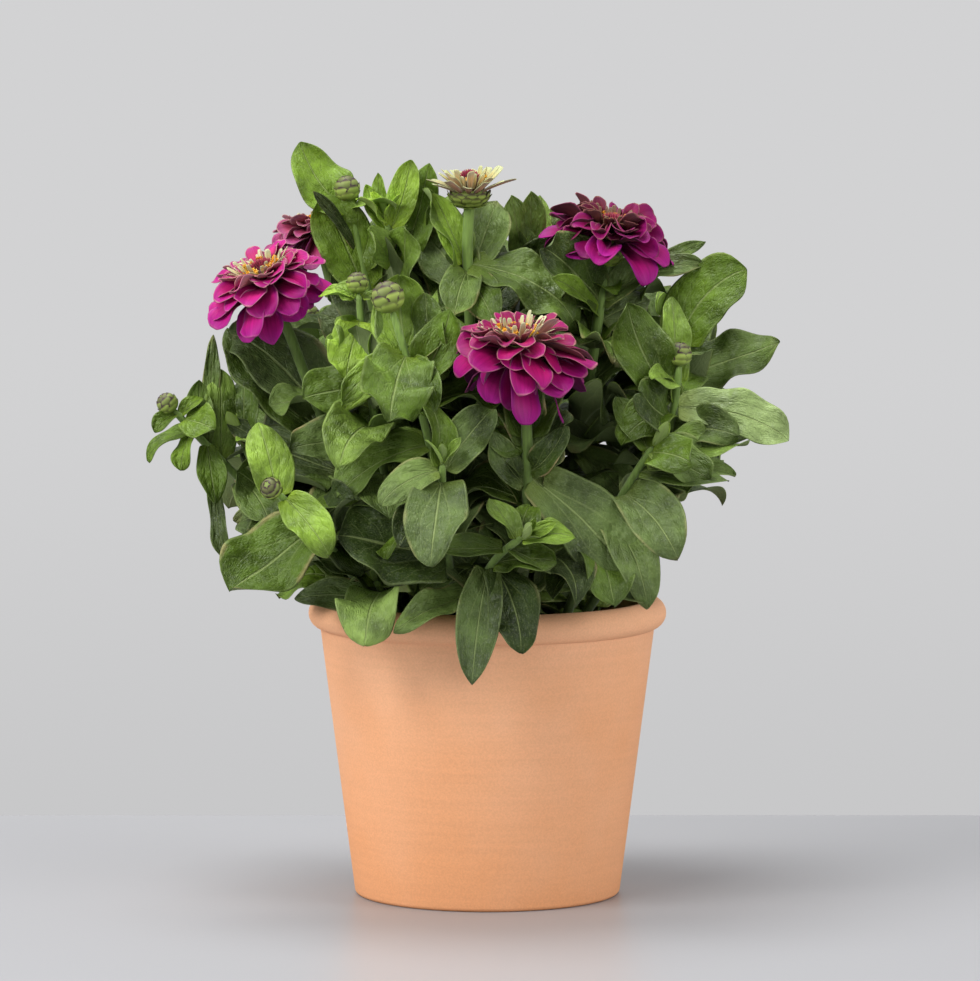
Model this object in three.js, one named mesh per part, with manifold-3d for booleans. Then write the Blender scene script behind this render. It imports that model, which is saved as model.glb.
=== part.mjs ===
// A potted zinnia: a plain terracotta pot, its compost, leafy stems with opposite leaves, and double blooms.
// Millimetres, +Z up, the origin on the surface under the middle of the pot, -Y towards the viewer.
import * as THREE from "three";
import { mergeGeometries, mergeVertices } from "three/addons/utils/BufferGeometryUtils.js";
import Module from "manifold-3d";

const wasm = await Module();
wasm.setup();
const { Manifold, Mesh: SolidMesh } = wasm;

// The pot
const POT_HEIGHT = 125;
const FOOT_RADIUS = 56;
const NECK_RADIUS = 69;
const ROLL_RADIUS = 6.25;
const WALL = 6;
const FLOOR = 8;
const FLOOR_ROUND = 3;
const DRAINS = 3;
const DRAIN_RADIUS = 4;
const DRAIN_CIRCLE_RADIUS = 28;
const POT_SIDES = 30;

// The compost
const SOIL_LEVEL = 108;
const SOIL_SWELL = 2.5;
const ROOT_DEPTH = 22;
const SOIL_SIDES = 18;

// The gap that touching pieces keep, and how far faces may shift as needless ones are dropped
const GAP = 0.3;
const SLACK = 0.06;

// The plant
const STEM_SIDES = 5;
const STEM_STEPS = 6;
const STEM_FOOT_RADIUS = 2.7;
const STEM_TOP_RADIUS = 1.9;
const LEAF_INSET = 1.3;
const LEAF_HALF_THICKNESS = 0.5;
const PETAL_HALF_THICKNESS = 0.45;

// Where a blade's faces are divided along its length, as shares of it
const LEAF_STEPS = [0, 0.24, 0.62, 1];
const PETAL_STEPS = [0, 0.6, 1];

// How far a leaf may turn aside where it would cross something, in degrees
const ASIDE = [0, 8, -8, 16, -16, 26, -26, 38, -38];

const COLOURS = {
  terracotta: { color: "#e0a279", roughness: 0.85, metalness: 0 },
  compost: { color: "#2b2019", roughness: 1, metalness: 0 },
  foliage: { color: "#4f6b30", roughness: 0.6, metalness: 0 },
  petals: { color: "#a82a74", roughness: 0.6, metalness: 0 },
  young_petals: { color: "#d9c48e", roughness: 0.6, metalness: 0 },
  disc: { color: "#c79a3c", roughness: 0.7, metalness: 0 },
};

// A stem leaves the compost at root, leans towards elbow and ends at top. A head is what it carries.
// A leaf is [place along the stem, compass turn, rise at its base, bend, length, width, roll], in degrees
// and mm: turn 0 is to the right and -90 to the viewer, and a bend below 0 droops.
// A pair is [place, turn, length, rise, bend]: two leaves on opposite sides of the stem.
const STEMS = [
  {
    name: "stem_front",
    root: [8, -22],
    elbow: [20, -74, 140],
    top: [15, -76, 225],
    head: { kind: "bloom", turn: -70, rise: 80, size: 1.06 },
    leaves: [
      [0.72, -30, 2, -75, 80, 34, -12],
      [0.72, 150, 45, -50, 50, 24, 20],
      [0.62, 50, 70, -10, 46, 20, 0],
      [0.62, 125, 66, -10, 46, 20, 0],
    ],
    pairs: [[0.38, -40, 55, 44, -86]],
  },
  {
    name: "stem_left",
    root: [-24, -14],
    elbow: [-62, -34, 180],
    top: [-86, -31, 250],
    head: { kind: "bloom", turn: -150, rise: 66, size: 0.98 },
    leaves: [
      [0.68, 165, 52, -40, 52, 36, 45],
      [0.68, -10, 35, -40, 40, 24, -30],
      [0.45, -110, 10, -60, 54, 30, 0],
      [0.45, 75, 30, -40, 50, 26, 0],
    ],
  },
  {
    name: "stem_left_back",
    root: [-24, 14],
    elbow: [-50, 38, 190],
    top: [-70, 42, 268],
    head: { kind: "bloom", turn: 150, rise: 76, size: 0.84 },
    leaves: [
      [0.78, 175, 20, -50, 44, 22, 20],
      [0.78, -5, 50, -30, 44, 22, -20],
    ],
    pairs: [[0.5, 100, 59, 44, -86]],
  },
  {
    name: "stem_young",
    root: [-4, -6],
    elbow: [-6, -14, 220],
    top: [-9, -12, 285],
    head: { kind: "young", turn: -90, rise: 84, size: 1 },
    leaves: [
      [0.86, -14, -2, -42, 58, 26, -35],
      [0.86, 170, 66, -10, 34, 15, 40],
      [0.84, 75, 80, 0, 30, 17, 0],
      [0.8, 150, 74, -5, 48, 17, 20],
      [0.68, -95, 25, -60, 44, 24, 0],
      [0.68, 160, 35, -50, 44, 22, 20],
    ],
    pairs: [[0.45, 10, 55, 49, -76]],
  },
  {
    name: "stem_right",
    root: [18, -4],
    elbow: [44, -6, 200],
    top: [49, -3, 271],
    head: { kind: "bloom", turn: -50, rise: 74, size: 1 },
    leaves: [
      [0.93, -165, 24, -30, 36, 29, 50],
      [0.82, 20, 38, -8, 48, 13, -30],
      [0.72, -75, 30, -60, 46, 26, 0],
      [0.72, 100, 30, -50, 50, 26, 0],
    ],
    pairs: [[0.48, 10, 55, 44, -76]],
  },
  {
    name: "shoot_top_right",
    root: [8, 14],
    elbow: [12, 16, 220],
    top: [17, 10, 268],
    head: { kind: "tip", size: 1 },
    leaves: [
      [0.98, 70, 84, 0, 30, 10, 0],
      [0.98, 175, 68, 0, 22, 12, 30],
      [0.94, 20, 62, -15, 34, 13, -30],
      [0.84, -60, 30, -50, 44, 22, -20],
      [0.84, 120, 50, -40, 44, 22, 0],
    ],
    pairs: [[0.6, 80, 55, 54, -76]],
  },
  {
    name: "shoot_top_left",
    root: [-14, 0],
    elbow: [-44, 4, 220],
    top: [-58, 4, 293],
    head: { kind: "bud", size: 1.05 },
    leaves: [
      [0.97, 178, 66, -26, 38, 20, 45],
      [0.97, -30, 30, -50, 22, 12, -20],
      [0.8, -150, 70, 0, 42, 23, 10],
      [0.8, 50, 50, -30, 42, 22, 0],
      [0.55, 170, 25, -50, 50, 26, 20],
      [0.55, -10, 30, -50, 46, 24, 0],
    ],
  },
  {
    name: "shoot_top_middle",
    root: [-12, 12],
    elbow: [-34, 10, 220],
    top: [-42, 0, 284],
    head: { kind: "tip", size: 1 },
    leaves: [
      [0.99, 20, 62, 10, 30, 16, -30],
      [0.99, -160, 50, -40, 20, 11, 30],
      [0.76, 170, 45, -20, 28, 13, 40],
      [0.7, -85, 78, 5, 38, 21, 0],
      [0.86, 80, 60, -20, 44, 22, 0],
    ],
    pairs: [[0.55, 10, 53, 59, -71]],
  },
  {
    name: "shoot_middle",
    root: [-10, -28],
    elbow: [-16, -76, 180],
    top: [-39, -72, 251],
    head: { kind: "bud", size: 1.25 },
    leaves: [
      [0.8, -100, -8, -60, 36, 32, 0],
      [0.8, 105, 66, -15, 46, 28, 0],
      [0.72, 20, 80, 10, 46, 18, -60],
      [0.72, 175, 10, -50, 26, 16, 40],
      [0.6, -160, 0, -60, 44, 27, 30],
      [0.6, 20, 30, -60, 40, 22, -30],
      [0.4, -95, 15, -70, 46, 26, 0],
    ],
  },
  {
    name: "shoot_middle_left",
    root: [-24, -32],
    elbow: [-46, -58, 180],
    top: [-53, -50, 257],
    head: { kind: "bud", size: 0.9 },
    leaves: [
      [0.92, 175, 20, -30, 16, 9, 30],
      [0.92, -10, 10, -30, 14, 8, -30],
      [0.8, 40, 70, 0, 28, 16, 0],
      [0.68, -120, 72, 0, 38, 22, 20],
      [0.68, 150, 25, -55, 42, 24, 10],
      [0.5, -85, 15, -65, 44, 27, 0],
      [0.5, 95, 30, -50, 46, 24, 0],
    ],
  },
  {
    name: "shoot_right",
    root: [32, -20],
    elbow: [76, -44, 170],
    top: [79, -46, 227],
    head: { kind: "bud", size: 1 },
    leaves: [
      [0.93, 80, 80, 0, 36, 14, 0],
      [0.93, -165, 15, 0, 15, 9, 40],
      [0.84, -8, 12, -50, 56, 27, -30],
      [0.86, 165, 62, -5, 38, 22, 30],
      [0.82, -140, 5, -40, 30, 20, 20],
      [0.6, -60, 20, -60, 46, 24, 0],
      [0.6, 110, 20, -50, 46, 24, 0],
    ],
  },
  {
    name: "shoot_far_right",
    root: [36, 2],
    elbow: [76, -4, 190],
    top: [80, -5, 234],
    head: { kind: "tip", size: 1 },
    leaves: [
      [0.97, 5, 62, -18, 44, 30, -45],
      [0.94, 150, 50, -30, 28, 15, 20],
      [0.84, -5, 26, -10, 42, 19, -55],
      [0.82, 120, 30, -50, 42, 22, 0],
      [0.55, 60, 40, -80, 46, 28, 20],
      [0.55, -150, 30, -50, 42, 22, 0],
    ],
  },
  {
    name: "shoot_right_low",
    root: [28, -36],
    elbow: [44, -64, 160],
    top: [68, -62, 194],
    head: { kind: "tip", size: 1 },
    leaves: [
      [0.97, 12, 12, -24, 40, 18, -40],
      [0.97, -30, -12, -30, 27, 20, -35],
      [0.97, 150, 58, -20, 28, 15, 30],
      [0.85, 4, 4, -22, 44, 17, -40],
      [0.72, -60, -8, -40, 44, 26, -30],
      [0.58, -62, -8, -62, 50, 21, -20],
      [0.45, -80, 10, -70, 46, 24, 20],
    ],
    pairs: [[0.3, 40, 48, 34, -76]],
  },
  {
    name: "shoot_far_left",
    root: [-38, -2],
    elbow: [-104, -16, 176],
    top: [-131, -20, 206],
    head: { kind: "bud", size: 0.9 },
    leaves: [
      [0.96, -150, -10, -40, 13, 9, 30],
      [0.96, 20, 50, -20, 12, 8, -40],
      [0.93, -40, 5, -20, 18, 13, -40],
      [0.86, 178, 5, -20, 24, 10, 40],
      [0.86, -120, -40, -30, 15, 9, 0],
      [0.84, -60, -60, -28, 52, 16, 30],
      [0.84, 60, 78, 0, 34, 13, 30],
      [0.6, -100, 0, -60, 42, 22, 20],
    ],
  },
  {
    name: "shoot_left",
    root: [-34, -18],
    elbow: [-84, -22, 148],
    top: [-103, -15, 194],
    head: { kind: "tip", size: 1 },
    leaves: [
      [0.98, 100, 80, 5, 32, 16, 0],
      [0.98, -80, 20, -60, 20, 12, 0],
      [0.85, -170, -20, -65, 42, 20, 30],
      [0.85, 0, 40, -40, 34, 20, -20],
      [0.6, -130, -5, -70, 50, 25, 0],
      [0.6, 50, 20, -50, 42, 22, 0],
    ],
  },
  {
    name: "shoot_left_low",
    root: [-36, -26],
    elbow: [-62, -44, 152],
    top: [-86, -90, 178],
    head: { kind: "bud", size: 0.9 },
    leaves: [
      [0.95, 130, 74, 0, 32, 20, 0],
      [0.93, -35, -20, -25, 32, 18, -40],
      [0.8, -150, -15, -40, 46, 29, 30],
      [0.8, 40, 25, -50, 40, 22, 0],
      [0.6, -15, 20, -60, 42, 22, 0],
      [0.6, 160, 10, -70, 44, 22, 20],
    ],
  },
  {
    name: "shoot_front_middle",
    root: [-6, -40],
    elbow: [-20, -80, 150],
    top: [-18, -98, 190],
    head: { kind: "tip", size: 1 },
    leaves: [
      [0.98, 85, 85, 5, 28, 15, 0],
      [0.96, -5, 48, -20, 32, 17, -40],
      [0.96, 188, 6, -40, 29, 17, 55],
      [0.9, -100, -20, -50, 46, 27, 0],
      [0.45, 178, 12, -25, 52, 42, 60],
      [0.45, 0, 20, -60, 40, 22, -20],
    ],
  },
  {
    name: "shoot_low",
    root: [2, -44],
    elbow: [-12, -70, 142],
    top: [14, -100, 160],
    head: { kind: "tip", size: 1.2 },
    leaves: [
      [0.98, 95, 60, -20, 20, 15, 0],
      [0.98, -15, 20, -20, 22, 14, -30],
      [0.98, 165, 60, 0, 20, 12, 30],
      [0.86, -170, 8, -20, 26, 14, 40],
      [0.86, -10, -15, -30, 20, 14, -30],
      [0.62, -95, -50, -38, 44, 21, 0],
      [0.55, -58, -20, -66, 50, 23, 0],
      [0.55, -122, -20, -66, 48, 22, 0],
      [0.62, -172, -10, -45, 34, 18, 30],
    ],
  },
  {
    name: "shoot_rim_left",
    root: [-24, -40],
    elbow: [-38, -48, 122],
    top: [-46, -54, 138],
    head: { kind: "tip", size: 1 },
    leaves: [
      [0.8, -98, 14, -118, 44, 26, 0],
      [0.9, 80, 60, -60, 44, 25, 0],
      [0.7, 172, 22, -50, 46, 20, 30],
    ],
  },
  {
    name: "shoot_back_left",
    root: [-26, 30],
    elbow: [-62, 66, 180],
    top: [-76, 72, 236],
    head: { kind: "bud", size: 0.95 },
    pairs: [
      [0.94, 40, 31, 40, -40],
      [0.8, 130, 53, 54, -76],
      [0.62, 50, 62, 44, -86],
      [0.42, 140, 59, 39, -86],
    ],
  },
  {
    name: "shoot_back",
    root: [-2, 34],
    elbow: [-2, 62, 200],
    top: [2, 66, 262],
    head: { kind: "bud", size: 1 },
    pairs: [
      [0.94, 0, 33, 45, -40],
      [0.8, 90, 51, 59, -76],
      [0.62, 0, 59, 49, -86],
      [0.44, 90, 62, 39, -86],
    ],
  },
  {
    name: "shoot_back_right",
    root: [26, 28],
    elbow: [62, 60, 180],
    top: [74, 64, 240],
    head: { kind: "tip", size: 1 },
    pairs: [
      [0.97, -40, 37, 45, -40],
      [0.8, 50, 55, 54, -76],
      [0.62, -40, 62, 44, -86],
      [0.42, 50, 59, 39, -86],
    ],
  },
  {
    name: "shoot_low_left_back",
    root: [-40, 16],
    elbow: [-70, 40, 152],
    top: [-104, 58, 172],
    head: { kind: "tip", size: 1 },
    pairs: [
      [0.97, 60, 37, 59, -76],
      [0.78, 150, 53, 39, -86],
      [0.55, 60, 57, 34, -86],
    ],
  },
  {
    name: "shoot_low_back",
    root: [2, 44],
    elbow: [4, 72, 152],
    top: [8, 106, 180],
    head: { kind: "tip", size: 1 },
    pairs: [
      [0.97, 10, 37, 59, -76],
      [0.78, 100, 55, 39, -86],
      [0.55, 10, 62, 34, -86],
    ],
  },
  {
    name: "shoot_low_right_back",
    root: [40, 18],
    elbow: [66, 38, 152],
    top: [90, 52, 172],
    head: { kind: "tip", size: 1 },
    pairs: [
      [0.97, -60, 37, 59, -76],
      [0.78, 30, 53, 39, -86],
      [0.55, -60, 57, 34, -86],
    ],
  },
];

// A bloom's layers of ray petals, from the outermost to the innermost:
// [petals, radius at the base, height of the base, length, width, rise, bend]
const BLOOM_LAYERS = [
  [8, 7, 1.5, 27, 15.5, -26, -60],
  [8, 7.5, 3, 26, 15.5, -4, -58],
  [8, 7, 4.5, 21, 12.5, 16, -46],
  [6, 6.2, 6, 14, 9, 38, -40],
];
const YOUNG_LAYERS = [
  [9, 6.5, 1, 14, 4.2, 24, -10],
  [7, 5.4, 2.4, 10, 3.6, 46, -6],
];

// A repeatable draw from 0 to 1 for whole number k.
function draw(k) {
  const x = Math.sin(k * 12.9898 + 4.1414) * 43758.5453;
  return x - Math.floor(x);
}

// A repeatable draw from -1 to 1.
const sway = (k) => 2 * draw(k) - 1;
const radians = THREE.MathUtils.degToRad;

// A three.js geometry as a manifold solid.
function solid(geometry) {
  const bare = geometry.clone();
  bare.deleteAttribute("normal");
  bare.deleteAttribute("uv");
  const merged = mergeVertices(bare, 1e-4);
  return new Manifold(
    new SolidMesh({
      numProp: 3,
      vertProperties: new Float32Array(merged.attributes.position.array),
      triVerts: new Uint32Array(merged.index.array),
    }),
  );
}

// A manifold solid as a named mesh of the given finish.
function part(name, made, finish) {
  const mesh = largest(made.simplify(SLACK)).getMesh();
  const geometry = new THREE.BufferGeometry();
  geometry.setAttribute("position", new THREE.BufferAttribute(mesh.vertProperties, 3));
  geometry.setIndex(new THREE.BufferAttribute(mesh.triVerts, 1));
  geometry.computeVertexNormals();
  const piece = new THREE.Mesh(geometry, new THREE.MeshStandardMaterial(COLOURS[finish]));
  piece.name = name;
  return piece;
}

// The largest piece of a solid: scraps that a cut left loose are dropped.
function largest(made) {
  return made.decompose().reduce((a, b) => (a.volume() > b.volume() ? a : b));
}

// The half width of a leaf along its length, as a share of its widest.
function leafOutline(s) {
  const widest = 0.42;
  const clasp = 0.16;
  if (s < widest) return clasp + (1 - clasp) * Math.sin((Math.PI / 2) * (s / widest));
  return Math.cos((Math.PI / 2) * ((s - widest) / (1 - widest))) ** 0.8;
}

// The half width of a ray petal, which is spoon shaped with a blunt end.
function petalOutline(s) {
  const widest = 0.62;
  const claw = 0.3;
  if (s < widest) return claw + (1 - claw) * Math.sin((Math.PI / 2) * (s / widest));
  return 0.6 + 0.4 * Math.sqrt(Math.max(0, 1 - ((s - widest) / (1 - widest)) ** 2));
}

// The point of a blade s along its midrib and v across it, and its upper normal there.
function bladePoint(blade, s, v, outline, extra) {
  const start = radians(blade.rise);
  const bend = radians(Math.abs(blade.bend) < 0.1 ? 0.1 : blade.bend);
  const lift = start + bend * s;
  const turn = radians(blade.turn);
  const forward = new THREE.Vector3(Math.cos(turn), Math.sin(turn), 0);
  const up = new THREE.Vector3(0, 0, 1);
  const along = (blade.length * (Math.sin(lift) - Math.sin(start))) / bend;
  const rise = (-blade.length * (Math.cos(lift) - Math.cos(start))) / bend;
  const level = new THREE.Vector3(Math.sin(turn), -Math.cos(turn), 0);
  const face = forward.clone().multiplyScalar(-Math.sin(lift)).addScaledVector(up, Math.cos(lift));
  const roll = radians(blade.roll + blade.twist * s);
  const side = level.clone().multiplyScalar(Math.cos(roll)).addScaledVector(face, Math.sin(roll));
  const normal = face.clone().multiplyScalar(Math.cos(roll)).addScaledVector(level, -Math.sin(roll));
  const across = v * (blade.width / 2) * outline(s) + Math.sign(v) * extra;
  const cup = radians(blade.cup) * (1 - 0.6 * s);
  const ripple = Math.sin(2 * Math.PI * (blade.waves * s + blade.phase + (v < 0 ? 0.37 : 0)));
  const heave = blade.wave * blade.width * Math.abs(v) ** 1.5 * Math.min(1, 3 * s) * ripple;
  const point = new THREE.Vector3(...blade.base)
    .addScaledVector(forward, along + blade.inset)
    .addScaledVector(up, rise)
    .addScaledVector(side, across * Math.cos(cup))
    .addScaledVector(normal, Math.abs(across) * Math.sin(cup) + heave);
  return { point, normal };
}

// A blade with sharp edges and a thick midrib: two faces split into triangles alike, joined at the outline.
function bladeSolid(blade, outline, steps, halfThickness) {
  const rows = steps.length - 1;
  const faces = [1, -1].map((facing) => {
    const sheet = new THREE.PlaneGeometry(2, 1, 2, rows);
    const places = sheet.attributes.position;
    for (let i = 0; i < places.count; i += 1) {
      const v = places.getX(i);
      const s = steps[Math.round((places.getY(i) + 0.5) * rows)];
      const { point, normal } = bladePoint(blade, s, v, outline, 0);
      const inner = Math.abs(v) < 1 && s > 0 && s < 1;
      if (inner) point.addScaledVector(normal, facing * halfThickness);
      places.setXYZ(i, point.x, point.y, point.z);
    }
    if (facing > 0) {
      const order = sheet.index.array;
      for (let i = 0; i < order.length; i += 3) [order[i], order[i + 1]] = [order[i + 1], order[i]];
    }
    return sheet;
  });
  return outward(solid(mergeGeometries(faces)));
}

// The room that a blade needs: a slab round it with the gap on every side.
function bladeRoom(blade, outline, steps, halfThickness) {
  const rows = steps.length - 1;
  const slab = new THREE.BoxGeometry(2, 1, 2, 2, rows, 1);
  const places = slab.attributes.position;
  for (let i = 0; i < places.count; i += 1) {
    const v = places.getX(i);
    const s = steps[Math.round((places.getY(i) + 0.5) * rows)];
    const { point, normal } = bladePoint(blade, s, v, outline, GAP);
    point.addScaledVector(normal, places.getZ(i) * (halfThickness * (1 - 0.5 * Math.abs(v)) + GAP));
    places.setXYZ(i, point.x, point.y, point.z);
  }
  // The box's last side splits its squares the other way, so they are split again, as the blade's faces are
  const order = slab.index.array;
  const { start, count } = slab.groups.at(-1);
  for (let i = start; i < start + count; i += 6) {
    const [a, b, d, , c] = order.slice(i, i + 6);
    order.set([a, b, c, a, c, d], i);
  }
  return outward(solid(slab));
}

// The solid with its faces pointing out.
function outward(made) {
  if (made.volume() >= 0) return made;
  const mesh = made.getMesh();
  const order = mesh.triVerts;
  for (let i = 0; i < order.length; i += 3) [order[i], order[i + 1]] = [order[i + 1], order[i]];
  return new Manifold(mesh);
}

// A stem's centre line: one easy bend from the compost to its top.
function stemPath(stem) {
  const root = new THREE.Vector3(...stem.root, SOIL_LEVEL);
  return new THREE.QuadraticBezierCurve3(
    root,
    new THREE.Vector3(...stem.elbow),
    new THREE.Vector3(...stem.top),
  );
}

// A tapering round stem along its centre line, with its foot buried in the compost.
function stemSolid(stem, extra) {
  const path = stemPath(stem);
  const root = path.v0;
  const flat = path.v1.clone().sub(root).cross(path.v2.clone().sub(path.v1)).normalize();
  if (flat.lengthSq() < 0.5) flat.set(0, 1, 0);
  const tube = new THREE.CylinderGeometry(1, 1, 1, STEM_SIDES, STEM_STEPS);
  const places = tube.attributes.position;
  for (let i = 0; i < places.count; i += 1) {
    const step = Math.round((places.getY(i) + 0.5) * STEM_STEPS);
    const t = step === 0 ? 0 : (step - 1) / (STEM_STEPS - 1);
    const centre = step === 0 ? root.clone().setZ(SOIL_LEVEL - ROOT_DEPTH - extra) : path.getPoint(t);
    const along = step < 2 ? new THREE.Vector3(0, 0, 1) : path.getTangent(t);
    const first = flat.clone().cross(along).normalize();
    const second = along.clone().cross(first);
    const radius = THREE.MathUtils.lerp(STEM_FOOT_RADIUS, STEM_TOP_RADIUS, t) + extra;
    centre.addScaledVector(first, places.getX(i) * radius).addScaledVector(second, places.getZ(i) * radius);
    if (step === STEM_STEPS) centre.addScaledVector(along, extra);
    places.setXYZ(i, centre.x, centre.y, centre.z);
  }
  return outward(solid(tube));
}

// The leaves of a stem as blades, each with a small draw of its own.
function stemLeaves(stem, order) {
  const path = stemPath(stem);
  const listed = stem.leaves ?? [];
  const paired = (stem.pairs ?? []).flatMap(([at, turn, length, rise, bend]) => [
    [at, turn, rise, bend, length, length * 0.58],
    [at, turn + 180, rise - 5, bend - 5, length * 0.94, length * 0.56],
  ]);
  const blades = [...listed, ...paired].map(([at, turn, rise, bend, length, width, roll], i) => {
    const seed = 40 * order + 5 * i;
    return {
      base: path.getPoint(at).toArray(),
      inset: LEAF_INSET,
      turn: turn + 4 * sway(seed + 1),
      rise,
      bend,
      length,
      width,
      roll: roll ?? 40 * sway(seed + 6),
      twist: 22 * sway(seed + 2),
      cup: 14 + 10 * sway(seed + 3),
      wave: 0.07 + 0.03 * sway(seed + 4),
      waves: 1.2,
      phase: draw(seed + 5),
    };
  });
  return { leaves: blades.slice(0, listed.length), pairs: blades.slice(listed.length) };
}

// The frame of a head: its own +Z is the way that it faces.
function headFrame(centre, turn, rise) {
  const bearing = radians(turn);
  const lift = radians(rise);
  const facing = new THREE.Vector3(
    Math.cos(lift) * Math.cos(bearing),
    Math.cos(lift) * Math.sin(bearing),
    Math.sin(lift),
  );
  const first = new THREE.Vector3(-Math.sin(bearing), Math.cos(bearing), 0);
  const second = facing.clone().cross(first);
  return new THREE.Matrix4().makeBasis(first, second, facing).setPosition(centre);
}

// A profile of [radius, height] points at another size.
const scaled = (profile, size) => profile.map(([r, z]) => [r * size, z * size]);

// A turned solid from its profile of [radius, height] points, about the Z axis.
function turned(profile, sides) {
  const lathe = new THREE.LatheGeometry(profile.map(([r, z]) => new THREE.Vector2(r, z)), sides);
  lathe.rotateX(Math.PI / 2);
  return outward(solid(lathe));
}

// The petals of a head, as blades in the head's frame.
function headPetals(layers, size, order) {
  return layers.flatMap(([count, radius, height, length, width, rise, bend], layer) =>
    Array.from({ length: count }, (_, i) => {
      const seed = 1000 + 300 * order + 40 * layer + 3 * i;
      const turn = ((i + 0.5 * (layer % 2)) * 360) / count + 5 * sway(seed + 1);
      return {
        base: [0, 0, size * height],
        inset: size * radius,
        turn,
        rise: rise + 6 * sway(seed + 2),
        bend: bend + 10 * sway(seed + 3),
        length: size * length * (1 + 0.07 * sway(seed + 4)),
        width: size * width,
        roll: 10 * sway(seed + 5),
        twist: 0,
        cup: 16,
        wave: 0,
        waves: 1,
        phase: 0,
      };
    }),
  );
}

const HEADS = {
  bloom: {
    layers: BLOOM_LAYERS,
    cup: [[0, -9], [2.4, -9], [5.5, -6.5], [7.6, -3], [7.8, -GAP], [0, -GAP]],
    core: [[0, 0], [8, 0], [9.4, 3], [8, 6.6], [5.6, 8], [0, 8]],
    disc: { base: 8 + GAP, radius: 5.4, height: 3, florets: 8, floret: 4.6 },
  },
  young: {
    layers: YOUNG_LAYERS,
    cup: [[0, -9.5], [2.6, -9.5], [6.6, -6], [8.2, -2.5], [8, -GAP], [0, -GAP]],
    core: [[0, 0], [7.4, 0], [7.4, 2], [5.6, 4], [0, 4]],
    disc: { base: 4 + GAP, radius: 4.4, height: 3.6, florets: 8, floret: 3.6 },
  },
};
const HEAD_SIDES = 8;
// How far a head's middle stands above the end of its stem, and what its size grows by for the gap round it
const HEAD_SEAT = 7;
const HEAD_ROOM = 0.06;

// The florets of a head: a low dome that small points stand out of, in the spiral that they grow in.
function discSolid({ base, radius, height, florets, floret }) {
  const shoulder = 0.7;
  const dome = turned(
    [
      [0, base],
      [radius, base],
      [radius * shoulder, base + height * Math.sqrt(1 - shoulder ** 2)],
      [0, base + height],
    ],
    HEAD_SIDES,
  );
  const goldenAngle = 137.508;
  const points = Array.from({ length: florets }, (_, i) => {
    const share = Math.sqrt((i + 0.5) / florets) * 0.92;
    const bearing = radians(i * goldenAngle);
    const cone = new THREE.ConeGeometry(1.05, floret, 3);
    cone.rotateX(Math.PI / 2);
    cone.rotateY(share * 0.5);
    cone.rotateZ(bearing);
    const reach = radius * share;
    const foot = base + height * Math.sqrt(1 - share ** 2) + floret * 0.2;
    cone.translate(reach * Math.cos(bearing), reach * Math.sin(bearing), foot);
    return outward(solid(cone));
  });
  return Manifold.union([dome, ...points]);
}

const BUD = { radius: 5.2, halfHeight: 5, seat: 3.5, ridge: 0.05, columns: 8, rows: 6 };

// A closed bud: a globe wrapped in rows of overlapping scales, raised as ridges on it.
function budSolid(size) {
  const { radius, halfHeight, seat, ridge, columns, rows } = BUD;
  const globe = new THREE.SphereGeometry(1, columns, rows);
  globe.rotateX(Math.PI / 2);
  const places = globe.attributes.position;
  for (let i = 0; i < places.count; i += 1) {
    const [x, y, z] = [places.getX(i), places.getY(i), places.getZ(i)];
    const row = Math.round((Math.acos(THREE.MathUtils.clamp(z, -1, 1)) / Math.PI) * rows);
    const column = Math.round((Math.atan2(y, x) / (2 * Math.PI)) * columns);
    const level = row > 0 && row < rows;
    const wide = size * radius * (level ? 1 + ridge * ((row + column) % 2 === 0 ? 1 : -1) : 1);
    places.setXYZ(i, wide * x, wide * y, size * (halfHeight * z + seat));
  }
  return outward(solid(globe));
}

// A growing tip: a small cone of folded leaves.
function tipSolid(size) {
  return turned([[0, -2], [2.2 * size, -1], [2.4 * size, 2.5], [0, 7 * size]], 6);
}

// The drain holes through the pot's floor.
function drainCutters() {
  return Array.from({ length: DRAINS }, (_, i) => {
    const hole = new THREE.CylinderGeometry(DRAIN_RADIUS, DRAIN_RADIUS, 4 * FLOOR, 8);
    hole.rotateX(Math.PI / 2);
    hole.translate(0, DRAIN_CIRCLE_RADIUS, 0);
    hole.rotateZ((i * 2 * Math.PI) / DRAINS);
    return outward(solid(hole));
  });
}

// The pot's profile from the axis and back to it, drawn out by a skin.
function potProfile(skin) {
  const rollCentre = [NECK_RADIUS, POT_HEIGHT - ROLL_RADIUS];
  const roll = [-80, -35, 10, 55, 100].map((angle) => [
    rollCentre[0] + (ROLL_RADIUS + skin) * Math.cos(radians(angle)),
    rollCentre[1] + (ROLL_RADIUS + skin) * Math.sin(radians(angle)),
  ]);
  const inside = WALL + skin;
  return [
    [0, -skin],
    [FOOT_RADIUS - 1.5, -skin],
    [FOOT_RADIUS + skin, 1.5],
    [NECK_RADIUS + skin, POT_HEIGHT - 2 * ROLL_RADIUS],
    ...roll,
    [NECK_RADIUS - inside + 1, POT_HEIGHT - 2.5],
    [NECK_RADIUS - inside, POT_HEIGHT - 2 * ROLL_RADIUS],
    [FOOT_RADIUS - inside, FLOOR + FLOOR_ROUND],
    [FOOT_RADIUS - inside - FLOOR_ROUND, FLOOR + skin],
    [0, FLOOR + skin],
  ];
}

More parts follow.
